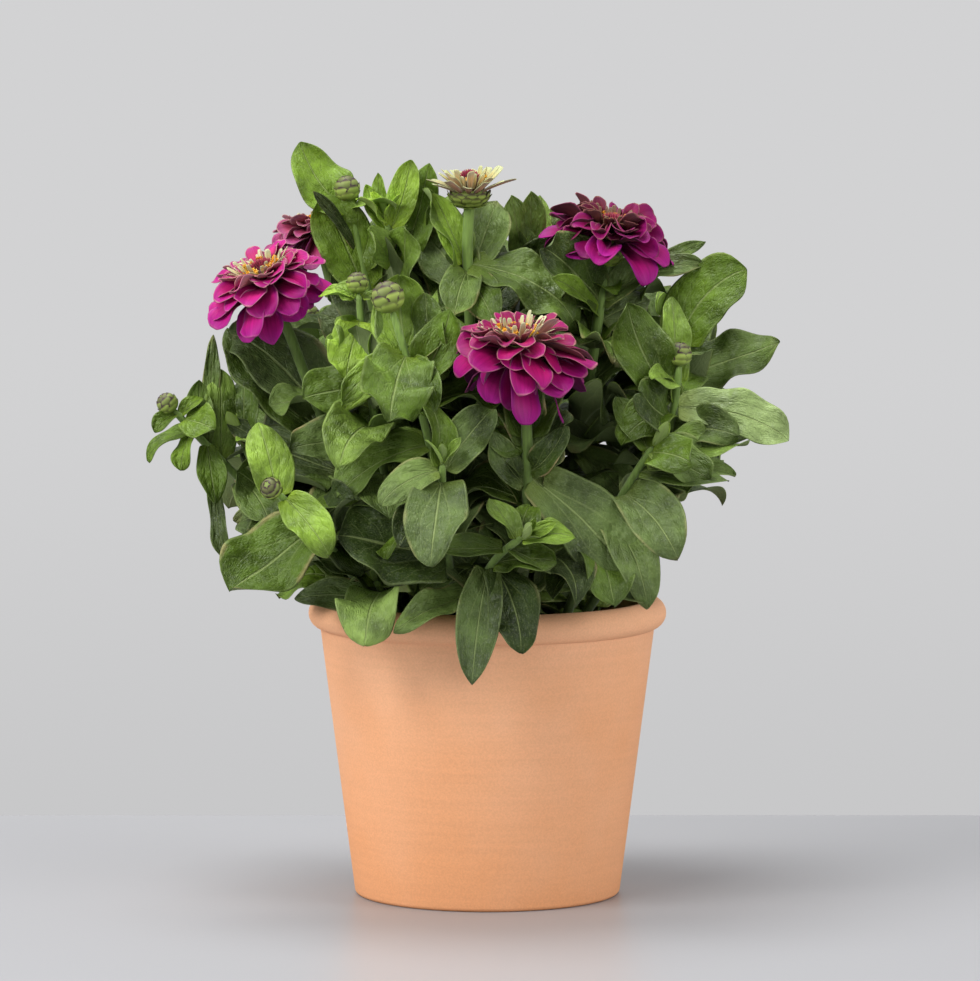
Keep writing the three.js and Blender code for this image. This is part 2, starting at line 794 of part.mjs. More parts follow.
// The compost fills the pot to just under its rim, and its top is uneven.
function soilSolid(lift) {
  const slope = (NECK_RADIUS - FOOT_RADIUS) / (POT_HEIGHT - 2 * ROLL_RADIUS - FLOOR - FLOOR_ROUND);
  const flats = Math.cos(Math.PI / POT_SIDES);
  const wallAt = (z) => (FOOT_RADIUS - WALL + slope * (z - FLOOR - FLOOR_ROUND)) * flats - GAP;
  const rings = [0.72, 0.36];
  const edge = wallAt(SOIL_LEVEL);
  const lathe = new THREE.LatheGeometry(
    [
      [0, FLOOR + GAP],
      [wallAt(FLOOR + FLOOR_ROUND) - FLOOR_ROUND, FLOOR + GAP],
      [wallAt(FLOOR + FLOOR_ROUND), FLOOR + FLOOR_ROUND + GAP],
      [edge, SOIL_LEVEL - SOIL_SWELL],
      ...rings.map((share) => [edge * share, SOIL_LEVEL]),
      [0, SOIL_LEVEL],
    ].map(([r, z]) => new THREE.Vector2(r, z)),
    SOIL_SIDES,
  );
  lathe.rotateX(Math.PI / 2);
  const places = lathe.attributes.position;
  for (let i = 0; i < places.count; i += 1) {
    const [x, y, z] = [places.getX(i), places.getY(i), places.getZ(i)];
    if (z < SOIL_LEVEL - 0.1) continue;
    const rough = Math.sin(0.31 * x + 1.3) * Math.cos(0.27 * y - 0.4);
    places.setZ(i, SOIL_LEVEL - SOIL_SWELL / 2 + (SOIL_SWELL / 2) * rough + lift);
  }
  return outward(solid(lathe));
}

const group = new THREE.Group();
group.name = "potted_zinnia";

const pot = turned(potProfile(0), POT_SIDES).subtract(Manifold.union(drainCutters()));
const potRoom = turned(potProfile(GAP), POT_SIDES);

// The stems with what grows green on them, apart from their leaves
const plants = STEMS.map((stem, order) => {
  const { head } = stem;
  const top = new THREE.Vector3(...stem.top);
  const direction = stemPath(stem).getTangent(1);
  const along = headFrame(
    top,
    THREE.MathUtils.radToDeg(Math.atan2(direction.y, direction.x)),
    THREE.MathUtils.radToDeg(Math.asin(direction.z)),
  );
  const form = HEADS[head.kind];
  const frame = headFrame(top, head.turn ?? 0, head.rise ?? 90);
  frame.multiply(new THREE.Matrix4().makeTranslation(0, 0, HEAD_SEAT * head.size));
  const end = (size) => {
    if (form) return turned(scaled(form.cup, size), HEAD_SIDES).transform(frame.elements);
    return (head.kind === "bud" ? budSolid(size) : tipSolid(size)).transform(along.elements);
  };
  return {
    stem,
    order,
    form,
    frame,
    ...stemLeaves(stem, order),
    petals: form ? headPetals(form.layers, head.size, order) : [],
    green: stemSolid(stem, 0).add(end(head.size)),
    room: stemSolid(stem, GAP).add(end(head.size + HEAD_ROOM)),
    fitted: [],
    leafRooms: [],
  };
});

// The heads: petals round a core, cut clear of the stems that pass them, and the disc on top
for (const plant of plants.filter(({ form }) => form)) {
  const { stem, form, frame, petals } = plant;
  const { size } = stem.head;
  const core = turned(scaled(form.core, size), HEAD_SIDES);
  const blades = petals.map((petal) => bladeSolid(petal, petalOutline, PETAL_STEPS, PETAL_HALF_THICKNESS));
  const rooms = petals.map((petal) => bladeRoom(petal, petalOutline, PETAL_STEPS, PETAL_HALF_THICKNESS));
  const disc = discSolid(form.disc).scale(size);
  const { base, radius, height, floret } = form.disc;
  const well = [
    [0, base - GAP],
    [radius + 2 * GAP, base - GAP],
    [radius + 2 * GAP, base + height + floret],
    [0, base + height + floret],
  ];
  const discRoom = turned(scaled(well, size), HEAD_SIDES);
  plant.rays = Manifold.union([core, ...blades]).subtract(discRoom).transform(frame.elements);
  plant.raysRoom = Manifold.union([core, discRoom, ...rooms]).transform(frame.elements);
  plant.disc = largest(disc).transform(frame.elements);
}

const bloomed = plants.filter(({ rays }) => rays);
for (const plant of bloomed) {
  const others = plants.filter((other) => other !== plant).map(({ room }) => room);
  const earlier = bloomed.filter(({ order }) => order < plant.order).map(({ raysRoom }) => raysRoom);
  plant.rays = largest(plant.rays.subtract(Manifold.union([...others, ...earlier])));
}

// The foliage: the leaves that show most are fitted first, and each turns aside from what is there before it
const soilRoom = soilSolid(GAP);
const heads = Manifold.union(bloomed.map(({ raysRoom }) => raysRoom));
for (const pass of ["leaves", "pairs"]) {
  for (const plant of plants) {
    const others = plants.filter((other) => other !== plant);
    const taken = Manifold.union([
      potRoom,
      soilRoom,
      heads,
      ...others.map(({ room }) => room),
      ...others.flatMap(({ leafRooms }) => leafRooms),
    ]);
    for (const leaf of plant[pass]) {
      const [best] = ASIDE.map((aside) => {
        const swung = { ...leaf, turn: leaf.turn + aside };
        const blade = bladeSolid(swung, leafOutline, LEAF_STEPS, LEAF_HALF_THICKNESS);
        return { swung, blade, crossed: blade.intersect(taken).volume() };
      }).sort((one, two) => one.crossed - two.crossed);
      plant.fitted.push(best.blade.subtract(taken));
      plant.leafRooms.push(bladeRoom(best.swung, leafOutline, LEAF_STEPS, LEAF_HALF_THICKNESS));
    }
  }
}

group.add(part("pot", pot, "terracotta"));
group.add(part("soil", soilSolid(0).subtract(Manifold.union(plants.map(({ room }) => room))), "compost"));
for (const { stem, green, fitted, rays, disc } of plants) {
  group.add(part(stem.name, Manifold.union([green, ...fitted]), "foliage"));
  if (!rays) continue;
  const bloom = stem.name.replace("stem", "bloom");
  const finish = stem.head.kind === "young" ? "young_petals" : "petals";
  group.add(part(`${bloom}_petals`, rays, finish));
  group.add(part(`${bloom}_disc`, disc, "disc"));
}

export default group;
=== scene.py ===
"""The looks of a potted zinnia: terracotta pot, compost, leafy stems and double blooms.

The shapes are worked out in millimetres and turned to metres as they are made. +Z is up, -Y is to the viewer.
"""

import math
from functools import partial

import bmesh
import bpy
from mathutils import Matrix, Vector
from mathutils.bvhtree import BVHTree


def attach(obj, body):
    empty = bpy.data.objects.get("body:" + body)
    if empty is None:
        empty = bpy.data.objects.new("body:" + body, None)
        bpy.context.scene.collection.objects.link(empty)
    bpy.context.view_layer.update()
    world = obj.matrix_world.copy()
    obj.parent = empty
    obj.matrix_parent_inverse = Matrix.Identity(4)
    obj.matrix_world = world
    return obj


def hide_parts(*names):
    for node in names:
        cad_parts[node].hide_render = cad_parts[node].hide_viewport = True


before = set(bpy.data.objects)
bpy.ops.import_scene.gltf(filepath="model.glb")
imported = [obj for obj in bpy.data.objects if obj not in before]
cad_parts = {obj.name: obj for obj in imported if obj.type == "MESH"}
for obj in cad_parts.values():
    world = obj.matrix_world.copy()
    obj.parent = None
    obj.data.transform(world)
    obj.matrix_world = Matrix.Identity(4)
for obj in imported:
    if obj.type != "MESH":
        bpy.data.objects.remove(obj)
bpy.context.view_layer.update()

MM = 0.001

# The camera: where it stands and looks, in metres, and the picture's size and focal length in pixels
CAMERA_PLACE = (0.0011, -2.45, 0.392)
CAMERA_TARGET = (0.0011, 0, 0.1701)
PICTURE_WIDTH = 980
PICTURE_HEIGHT = 981
FOCAL_PIXELS = 5850
SENSOR = 36

# The pot and the compost, as the frame has them, but that the pot's wall swells a little more under its rim
POT_HEIGHT = 125
POT_SIDES = 96
FOOT_RADIUS = 56
FOOT_ROUND = 2
NECK_RADIUS = 69
ROLL_RADIUS = 6.25
NECK_HEIGHT = POT_HEIGHT - 2 * ROLL_RADIUS
WALL = 6
WALL_SWELL = 1.2
WALL_STEPS = 10
FLOOR = 8
FLOOR_ROUND = 3
DRAINS = 3
DRAIN_RADIUS = 4
DRAIN_CIRCLE_RADIUS = 28
SOIL_LEVEL = 108
SOIL_DEPTH = 26
SOIL_RINGS = 14
SOIL_SIDES = 72
CRUMBS = 420

# The plant
STALK_SIDES = 12
STALK_STEPS = 14
STALK_FOOT_RADIUS = 2.6
STALK_TOP_RADIUS = 1.9
ROOT_DEPTH = 6
LEAF_INSET = 1.3
LEAF_THICKNESS = 0.4
PETAL_THICKNESS = 0.4
HEAD_SEAT = 7
FLOWERING = ("bloom", "young")
# How far beside the frame's a bloom stands, to be where the picture has it
HEAD_SHIFTS = {
    "stem_front": (-3.5, 0, -1),
    "stem_left": (-1.5, 0, 0.5),
    "stem_young": (1.5, 0, 1),
    "stem_right": (0.5, 0, -4),
}
# How far aside, in degrees, a leaf looks for its place in the frame's own mesh
ASIDE = [0, 8, -8, 16, -16, 26, -26, 38, -38]
# Where the draws of each sort of blade start
PETAL_DRAWS = 3000
TIP_DRAWS = 5000
BUD_DRAWS = 7000
CUP_DRAWS = 8000
FILLING_DRAWS = 9000
ADDED_DRAWS = 20000

# The stems, much as the frame has them. A stem leaves the compost at root, leans to elbow and ends at top.
# A leaf is [place along the stem, compass turn, rise at its base, bend, length, width, roll], in degrees
# and mm: turn 0 is to the right and -90 to the viewer. A pair is [place, turn, length, rise, bend]. Youth
# says how yellow-green the stem's leaves are, from 0 for full-grown to 1 for the newest, and an eighth number
# in a leaf says it for that leaf.
STEMS = [
    {"name": "stem_front", "root": [8, -22], "elbow": [20, -74, 140], "top": [15, -76, 225],
     "head": {"kind": "bloom", "turn": -70, "rise": 80, "size": 1.06}, "youth": 0.12,
     "leaves": [
         [0.72, 150, 45, -50, 50, 24, 20], [0.62, 50, 70, -10, 46, 20, 0], [0.62, 125, 66, -10, 46, 20, 0],
     ],
     "pairs": [[0.38, -40, 55, 44, -86]]},
    {"name": "stem_left", "root": [-24, -14], "elbow": [-62, -34, 180], "top": [-86, -31, 250],
     "head": {"kind": "bloom", "turn": -150, "rise": 66, "size": 0.98}, "youth": 0.1,
     "leaves": [
         [0.68, 165, 60, -36, 54, 38, 45, 0.02], [0.68, -10, 35, -40, 40, 24, -30],
         [0.45, -110, 10, -60, 54, 30, 0], [0.45, 75, 30, -40, 50, 26, 0],
     ]},
    {"name": "stem_left_back", "root": [-24, 14], "elbow": [-50, 38, 190], "top": [-70, 42, 268],
     "head": {"kind": "bloom", "turn": 150, "rise": 76, "size": 0.84}, "youth": 0.25,
     "leaves": [[0.78, 175, 20, -50, 44, 22, 20], [0.78, -5, 50, -30, 44, 22, -20]],
     "pairs": [[0.5, 100, 59, 44, -86]]},
    {"name": "stem_young", "root": [-4, -6], "elbow": [-6, -14, 220], "top": [-9, -12, 285],
     "head": {"kind": "young", "turn": -90, "rise": 84, "size": 1}, "youth": 0.4,
     "leaves": [
         [0.86, -14, -2, -42, 58, 26, -35], [0.8, 150, 74, -5, 44, 17, 20, 0.2],
         [0.68, -95, 25, -60, 44, 24, 0], [0.68, 160, 35, -50, 44, 22, 20],
     ],
     "pairs": [[0.45, 10, 55, 49, -76]]},
    {"name": "stem_right", "root": [18, -4], "elbow": [44, -6, 200], "top": [49, -3, 271],
     "head": {"kind": "bloom", "turn": -50, "rise": 74, "size": 1}, "youth": 0.2,
     "leaves": [
         [0.82, 20, 38, -8, 48, 13, -30], [0.72, -75, 30, -60, 46, 26, 0], [0.72, 100, 30, -50, 50, 26, 0],
     ],
     "pairs": [[0.48, 10, 55, 44, -76]]},
    {"name": "shoot_top_right", "root": [8, 14], "elbow": [12, 16, 220], "top": [17, 10, 268],
     "head": {"kind": "tip", "size": 1}, "youth": 0.35,
     "leaves": [
         [0.94, 20, 62, -15, 34, 13, -30], [0.84, -60, 30, -50, 44, 22, -20],
         [0.84, 120, 50, -40, 44, 22, 0],
     ],
     "pairs": [[0.6, 80, 55, 54, -76]]},
    {"name": "shoot_top_left", "root": [-14, 0], "elbow": [-44, 4, 220], "top": [-58, 4, 293],
     "head": {"kind": "bud", "size": 1.08}, "youth": 0.5,
     "leaves": [
         [0.97, -30, 30, -50, 22, 12, -20], [0.8, 50, 50, -30, 42, 22, 0], [0.55, 170, 25, -50, 50, 26, 20],
         [0.55, -10, 30, -50, 46, 24, 0],
     ]},
    {"name": "shoot_top_middle", "root": [-12, 12], "elbow": [-34, 10, 220], "top": [-42, 0, 284],
     "head": {"kind": "tip", "size": 1}, "youth": 0.55,
     "leaves": [
         [0.99, -160, 50, -40, 20, 11, 30], [0.7, -85, 78, 5, 38, 21, 0], [0.86, 80, 60, -20, 44, 22, 0],
     ],
     "pairs": [[0.55, 10, 53, 59, -71]]},
    {"name": "shoot_middle", "root": [-10, -28], "elbow": [-16, -76, 180], "top": [-39, -72, 251],
     "head": {"kind": "bud", "size": 1.34}, "youth": 0.6,
     "leaves": [
         [0.8, 105, 66, -15, 46, 28, 0], [0.72, 20, 80, 10, 46, 18, -60], [0.6, -160, 0, -60, 44, 27, 30],
         [0.6, 20, 30, -60, 40, 22, -30], [0.4, -95, 15, -70, 46, 26, 0],
     ]},
    {"name": "shoot_middle_left", "root": [-24, -32], "elbow": [-46, -58, 180], "top": [-53, -50, 257],
     "head": {"kind": "bud", "size": 0.9}, "youth": 0.55,
     "leaves": [
         [0.98, 175, 20, -30, 16, 9, 30], [0.98, -10, 10, -30, 14, 8, -30], [0.8, 40, 70, 0, 28, 16, 0],
         [0.68, -120, 72, 0, 38, 22, 20], [0.68, 150, 25, -55, 42, 24, 10], [0.5, -85, 15, -65, 44, 27, 0],
         [0.5, 95, 30, -50, 46, 24, 0],
     ]},
    {"name": "shoot_right", "root": [32, -20], "elbow": [76, -44, 170], "top": [79, -46, 227],
     "head": {"kind": "bud", "size": 1}, "youth": 0.3,
     "leaves": [
         [0.93, 80, 80, 0, 36, 14, 0], [0.93, -165, 15, 0, 15, 9, 40], [0.82, -140, 5, -40, 30, 20, 20],
         [0.6, -60, 20, -60, 31, 20, 0], [0.6, 110, 20, -50, 46, 24, 0],
     ]},
    {"name": "shoot_far_right", "root": [36, 2], "elbow": [76, -4, 190], "top": [80, -5, 234],
     "head": {"kind": "tip", "size": 1}, "youth": 0.25,
     "leaves": [
         [0.94, 150, 50, -30, 28, 15, 20], [0.84, -5, 20, -10, 46, 24, -55],
         [0.82, 120, 30, -50, 42, 22, 0], [0.55, 60, 40, -80, 46, 28, 20], [0.55, -150, 30, -50, 42, 22, 0],
     ]},
    {"name": "shoot_right_low", "root": [28, -36], "elbow": [44, -64, 160], "top": [68, -62, 194],
     "head": {"kind": "tip", "size": 1}, "youth": 0.25,
     "leaves": [
         [0.97, 12, 12, -24, 40, 18, -40], [0.97, -30, -12, -30, 27, 20, -35],
         [0.97, 150, 58, -20, 28, 15, 30], [0.85, 4, 4, -22, 38, 17, -40],
         [0.72, -76, -8, -40, 44, 26, -30], [0.58, -62, -8, -62, 50, 21, -20],
         [0.45, -80, 10, -70, 46, 24, 20],
     ],
     "pairs": [[0.3, 40, 26, 34, -76]]},
    {"name": "shoot_far_left", "root": [-38, -2], "elbow": [-104, -16, 176], "top": [-131, -20, 206],
     "head": {"kind": "bud", "size": 0.9}, "youth": 0.34,
     "leaves": [
         [0.96, -150, -10, -40, 13, 9, 30], [0.96, 20, 50, -20, 12, 8, -40],
         [0.93, -40, 5, -20, 18, 17, -40], [0.86, 178, -16, -24, 23, 13, 40],
         [0.86, -130, -50, -30, 18, 10, 0],
     ]},
    {"name": "shoot_left", "root": [-34, -18], "elbow": [-84, -22, 148], "top": [-103, -15, 194],
     "head": {"kind": "tip", "size": 1}, "youth": 0.4,
     "leaves": [
         [0.98, 100, 80, 5, 32, 16, 0, 0.12], [0.98, -80, 20, -60, 20, 12, 0],
         [0.85, 0, 40, -40, 34, 20, -20], [0.6, 50, 20, -50, 42, 22, 0],
     ]},
    {"name": "shoot_left_low", "root": [-36, -26], "elbow": [-62, -44, 152], "top": [-86, -90, 178],
     "head": {"kind": "bud", "size": 0.9}, "youth": 0.65,
     "leaves": [
         [0.95, 130, 74, 0, 32, 20, 40, 0.58], [0.93, -44, -28, -25, 32, 19, -40, 0.5],
         [0.8, 40, 25, -50, 40, 22, 0], [0.6, -15, 20, -60, 42, 22, 0],
     ]},
    {"name": "shoot_front_middle", "root": [-6, -40], "elbow": [-20, -80, 150], "top": [-18, -98, 190],
     "head": {"kind": "tip", "size": 1}, "youth": 0.22,
     "leaves": [
         [0.98, 85, 85, 5, 28, 15, 0], [0.96, 188, 0, -50, 30, 15, 55, 0.12],
         [0.9, -100, -20, -50, 46, 27, 0, 0.08], [0.45, 0, 20, -60, 40, 22, -20],
     ]},
    {"name": "shoot_low", "root": [2, -44], "elbow": [-12, -70, 142], "top": [14, -100, 160],
     "head": {"kind": "tip", "size": 1.2}, "youth": 0.24,
     "leaves": [
         [0.98, 95, 60, -20, 20, 15, 0], [0.98, -15, 20, -20, 22, 14, -30], [0.98, 165, 60, 0, 20, 12, 30],
         [0.86, -170, 8, -20, 26, 14, 40], [0.86, -10, -15, -30, 20, 14, -30],
     ]},
    {"name": "shoot_rim_left", "root": [-24, -40], "elbow": [-38, -48, 122], "top": [-46, -54, 138],
     "head": {"kind": "tip", "size": 1}, "youth": 0.3,
     "leaves": [[0.9, 80, 60, -60, 44, 25, 0]]},
    {"name": "shoot_back_left", "root": [-26, 30], "elbow": [-62, 66, 180], "top": [-76, 72, 236],
     "head": {"kind": "bud", "size": 0.95},
     "pairs": [
         [0.94, 40, 31, 40, -40], [0.8, 130, 53, 54, -76], [0.62, 50, 62, 44, -86],
         [0.42, 140, 59, 39, -86],
     ]},
    {"name": "shoot_back", "root": [-2, 34], "elbow": [-2, 62, 200], "top": [2, 66, 262],
     "head": {"kind": "bud", "size": 1},
     "pairs": [
         [0.94, 0, 33, 45, -40], [0.8, 90, 51, 59, -76], [0.62, 0, 59, 49, -86], [0.44, 90, 62, 39, -86],
     ]},
    {"name": "shoot_back_right", "root": [26, 28], "elbow": [62, 60, 180], "top": [74, 64, 240],
     "head": {"kind": "tip", "size": 1},
     "pairs": [
         [0.97, -40, 37, 45, -40], [0.8, 50, 55, 54, -76], [0.62, -40, 62, 44, -86],
         [0.42, 50, 59, 39, -86],
     ]},
    {"name": "shoot_low_left_back", "root": [-40, 16], "elbow": [-70, 40, 152], "top": [-104, 58, 172],
     "head": {"kind": "tip", "size": 1},
     "pairs": [[0.97, 60, 28, 59, -76], [0.78, 150, 40, 39, -86], [0.55, 60, 57, 34, -86]]},
    {"name": "shoot_low_back", "root": [2, 44], "elbow": [4, 72, 152], "top": [8, 106, 180],
     "head": {"kind": "tip", "size": 1},
     "pairs": [[0.97, 10, 37, 59, -76], [0.78, 100, 55, 39, -86], [0.55, 10, 62, 34, -86]]},
    {"name": "shoot_low_right_back", "root": [40, 18], "elbow": [66, 38, 152], "top": [90, 52, 172],
     "head": {"kind": "tip", "size": 1},
     "pairs": [[0.97, -60, 27, 59, -76], [0.78, 30, 30, 39, -86], [0.55, -60, 27, 34, -86]]},
]
YOUTH_ELSEWHERE = 0.3

# Leaves placed by where the picture shows their tips: [place along the stem, tip, bend, width, youth], and
# what is special about their shape. A tip is [pixels to the right, pixels down, depth in mm].
ADDED_LEAVES = {
    "shoot_top_left": [
        [0.96, [303, 139, 10], 36, 24, 0.42], [0.86, [313, 189, -8], -20, 6, 0.1],
        [0.74, [324, 192, 2], -8, 27, 0.5, {"blunt": 0.4, "widest": 0.5, "curl": 0, "sweep": 0}],
        [0.6, [332, 258, 14], -10, 24, 0.04], [0.62, [318, 316, 10], -50, 26, 0.02],
    ],
    "shoot_top_middle": [
        [0.97, [409, 157, 0], 14, 15, 0.7], [0.97, [367, 182, 4], 10, 9, 0.61],
        [0.97, [378, 170, 4], 10, 8, 0.4], [0.84, [431, 161, 6], 10, 18, 0.35],
        [0.86, [371, 227, -12], -20, 15, 0.4], [0.74, [407, 224, -14], 10, 24, 0.3],
    ],
    "stem_young": [
        [0.86, [433, 190, -8], -14, 14, 0.4], [0.84, [494, 196, 4], 12, 24, 0.2],
        [0.72, [430, 252, 4], -30, 24, 0.12], [0.78, [452, 244, 8], -20, 20, 0.1],
        [0.8, [505, 246, 2], -30, 18, 0.2], [0.74, [412, 262, 16], -20, 26, 0.02],
        [0.8, [425, 236, 12], -26, 28, 0.1], [0.84, [453, 318, -34], -40, 18, 0.08],
        [0.82, [494, 323, -34], -30, 18, 0.04], [0.7, [520, 280, 14], -30, 24, 0.02],
    ],
    "shoot_top_right": [
        [0.98, [530, 188, 12], 10, 14, 0.3], [0.98, [515, 192, 6], 12, 15, 0.3],
        [0.94, [541, 192, 18], 10, 12, 0.45], [0.9, [560, 240, 0], -30, 18, 0.1],
    ],
    "shoot_middle": [
        [0.86, [398, 273, -62], 12, 26, 0.42], [0.8, [433, 285, -50], 10, 8, 0.59],
        [0.78, [451, 306, -72], 18, 21, 0.4, {"frill": 0.22}], [0.86, [340, 402, -92], -40, 13, 0.5],
        [0.86, [386, 424, -102], -40, 32, 0.2, {"frill": 0.26, "frills": 2.6, "blunt": 0.55, "cup": 24}],
        [0.8, [341, 411, -88], -40, 10, 0.67], [0.84, [432, 420, -94], -50, 18, 0.36],
    ],
    "shoot_middle_left": [
        [0.98, [335, 286, -50], -60, 10, 0.61], [0.8, [344, 313, -56], 10, 22, 0.59],
        [0.78, [373, 318, -62], 10, 14, 0.61], [0.74, [303, 398, -64], -30, 24, 0.35],
        [0.62, [336, 466, -96], -70, 28, 0.56], [0.58, [287, 450, -70], -40, 22, 0.1],
        [0.84, [326, 345, -60], -30, 14, 0.4],
        [0.92, [346, 382, -68], -30, 21, 0.62, {"frill": 0.26, "frills": 2.8}],
        [0.9, [372, 352, -60], -20, 17, 0.55],
    ],
    "shoot_far_left": [
        [0.78, [213, 331, -8], 0, 8, 0.12], [0.84, [199, 377, -16], 0, 12, 0.35],
        [0.78, [218, 506, -30], 14, 13, 0.34, {"frill": 0.1}],
        [0.76, [222, 562, -28], 10, 8, 0.1, {"frill": 0.3, "frills": 2.4, "widest": 0.82, "clasp": 0.3}],
        [0.7, [222, 366, -12], 0, 16, 0.4, {"frill": 0.1}], [0.6, [270, 524, -40], -50, 20, 0.1],
    ],
    "shoot_left": [
        [0.6, [262, 566, -56], -60, 24, 0.1], [0.7, [236, 470, -30], -40, 22, 0.05],
    ],
    "shoot_left_low": [
        [0.68, [233, 597, -86], -14, 37, 0.14, {"blunt": 0.45, "frill": 0.15}],
        [0.7, [352, 500, -86], -40, 22, 0.1], [0.6, [268, 588, -66], -60, 22, 0.05],
    ],
    "shoot_front_middle": [
        [0.5, [338, 535, -92], -18, 44, 0.03,
         {"widest": 0.5, "blunt": 0.5, "clasp": 0.75, "curl": 0, "sweep": 0}],
        [0.96, [492, 404, -86], -24, 19, 0.15], [0.8, [398, 548, -110], -40, 18, 0.1],
    ],
    "shoot_low": [
        [0.64, [474, 688, -104], -40, 20, -0.06], [0.68, [522, 656, -92], -50, 22, -0.1],
        [0.42, [396, 632, -98], -24, 16, 0.12], [0.7, [556, 560, -100], -30, 16, 0.3],
    ],
    "shoot_rim_left": [
        [0.8, [368, 646, -94], -90, 31, 0.5, {"pale": 0.4}], [0.7, [294, 598, -52], -30, 15, 0.02],
    ],
    "stem_front": [
        [0.72, [647, 605, -80], -34, 33, 0.05, {"blunt": 0.4}], [0.74, [566, 425, -84], 30, 14, 0.02],
        [0.7, [492, 428, -80], 30, 14, 0.02],
    ],
    "stem_left": [
        [0.6, [231, 322, -14], 10, 30, 0.02], [0.5, [226, 424, -16], 0, 24, 0.05],
    ],
    "stem_right": [
        [0.86, [547, 246, -36], -20, 30, 0.1], [0.82, [557, 273, -42], -14, 11, 0.45],
        [0.86, [704, 237, 10], -10, 11, 0.3], [0.45, [655, 560, -30], -50, 20, 0.1],
        [0.8, [650, 300, 0], -40, 20, 0.1], [0.84, [702, 262, 2], -64, 17, 0.12],
    ],
    "shoot_right": [
        [0.86, [626, 300, -52], 20, 24, 0.35], [0.93, [652, 378, -60], -30, 14, 0.45],
        [0.84, [790, 440, -54], -46, 20, 0.5, {"frill": 0.2, "frills": 3.1, "blunt": 0.3, "pale": 0.9}],
        [0.8, [640, 392, -68], 10, 26, 0.2], [0.74, [738, 436, -60], -50, 20, 0.2],
    ],
    "shoot_far_right": [
        [0.97, [744, 262, -6], -64, 29, 0.18], [0.7, [640, 345, -20], 20, 22, 0.1],
    ],
    "shoot_right_low": [
        [0.96, [690, 462, -84], -40, 22, 0.35], [0.9, [737, 474, -60], -50, 18, 0.15],
        [0.7, [664, 500, -60], -50, 24, 0.02],
    ],
}

# The rings of a full bloom from the outermost to the innermost:
# [petals, radius at the base, height of the base, length, width, rise, bend, cup]
BLOOM_RINGS = [
    [8, 7, 0.4, 24.5, 14, -34, -30, 12],
    [9, 7.5, 1.6, 25.5, 14.5, -16, -36, 14],
    [10, 8, 3, 24.5, 14.2, -2, -36, 18],
    [11, 8, 4.4, 22, 13.2, 7, -28, 26],
    [12, 8, 5.4, 19, 11.6, 14, -20, 34],
    [13, 8, 6.2, 15.5, 9.2, 22, -8, 38],
    [12, 8, 6.8, 12.5, 7.2, 30, 2, 40],
    [18, 7.8, 7.2, 11, 2.5, 38, 10, 20],
    [12, 7, 7.8, 8.5, 2.1, 60, 10, 20],
]
YOUNG_RINGS = [
    [12, 7.4, 2.8, 13.5, 4.8, 32, -6, 46],
    [11, 6.6, 3.6, 12, 4, 46, -4, 46],
    [8, 6, 4.2, 9, 2.8, 62, 6, 26],
    [8, 5.4, 4.6, 6.5, 2.2, 74, 8, 20],
]
# Petals narrower than this are straps
STRAP_WIDTH = 6
# From this share of the way in, a bloom's petals have the colours of its innermost straps
STRAP_SHARE = 0.84
# The middle of a bloom: height of its base, radius, height and star florets round it
DISC = (8.2, 5.8, 3.8, 18)
YOUNG_DISC = (6, 4.6, 5, 3)
CHAFF = 80
# The rings of bracts round a bud and round a cup: how many, and how far round from the stalk their tips
# reach, in degrees
BUD_ROWS = [(5, 74), (6, 106), (6, 138), (5, 168)]
CUP_ROWS = [(9, 50), (10, 68), (11, 86), (11, 98)]
# What the bracts are wrapped round: (radius, half its height, height of its middle), how high its upper half
# is next to a ball's, and how far the bracts stand off
BUD_BODY = ((5, 4.9, 3.5), 1, 0)
CUP_BODY = ((7.6, 9, 0), 0.7, 0.04)
YOUNG_CUP_BODY = ((7.6, 6, 2.6), 0.3, 0.2)
# The pairs of small leaves in a growing tip: (length, width, rise)
TIP_PAIRS = [(13, 6, 58), (10, 4.5, 74), (7, 3, 84)]
# How each bloom differs: how far its petals lift or cup, how long they are, which way they are longest,
# how tousled it is, and where they hang: [bearing, how wide, by how much]
HABITS = {
    "bloom_front": {
        "mess": 1.15, "hang": [[-84, 45, 26], [-30, 30, 20]], "lift": 5, "length": 0.93, "longest": -25,
        "more": 0.12,
    },
    "bloom_left": {"hang": [[-100, 40, 8]], "lift": 8, "length": 0.86, "longest": 180, "more": 0.05},
    "bloom_left_back": {"mess": 1.4, "cup": 10, "lift": 13, "length": 0.84},
    "bloom_young": {"mess": 0.6},
    "bloom_right": {
        "mess": 1.45, "cup": 26, "lift": 30, "hang": [[-62, 40, -16]], "curl": 12, "length": 0.87,
        "longest": 180, "more": 0.03,
    },
}
# The colours of each bloom's petals: [outer face, middle face, inner face, outer back, inner back, margin],
# and of its innermost straps where they have faded
TINTS = {
    "bloom_front": ["#a80e6a", "#b80e60", "#a42c50", "#7a2252", "#b98474", "#c8a284"],
    "bloom_left": ["#cc1a80", "#c81a72", "#bc4460", "#8e2c64", "#c4947e", "#d4b090"],
    "bloom_left_back": ["#b43a6e", "#bc4c6c", "#b86a6c", "#a4506a", "#b87c74", "#d0a890"],
    "bloom_right": ["#bc1676", "#a21058", "#6e2c2e", "#581a32", "#744238", "#9a6c52", "#8c6248"],
    "bloom_young": ["#e6d490", "#e6d28a", "#ead884", "#cda086", "#dcbe84", "#efe0a8"],
}
STRAP_TONES = ("#e2cd92", "#d6bd8c", "#efe0b0")
FADED_MARGIN = "#c4a474"

LEAF_AGES = ["old", "grown", "fresh", "new"]
LEAF_TONES = {
    "old": "#2c3d0e", "grown": "#567018", "fresh": "#86a634", "new": "#b2d444",
    "grey": "#8ea266", "vein": "#b8ca80", "dry": "#a99068",
}
VEINS_A_SIDE = 5
NET_CELL = 2.4

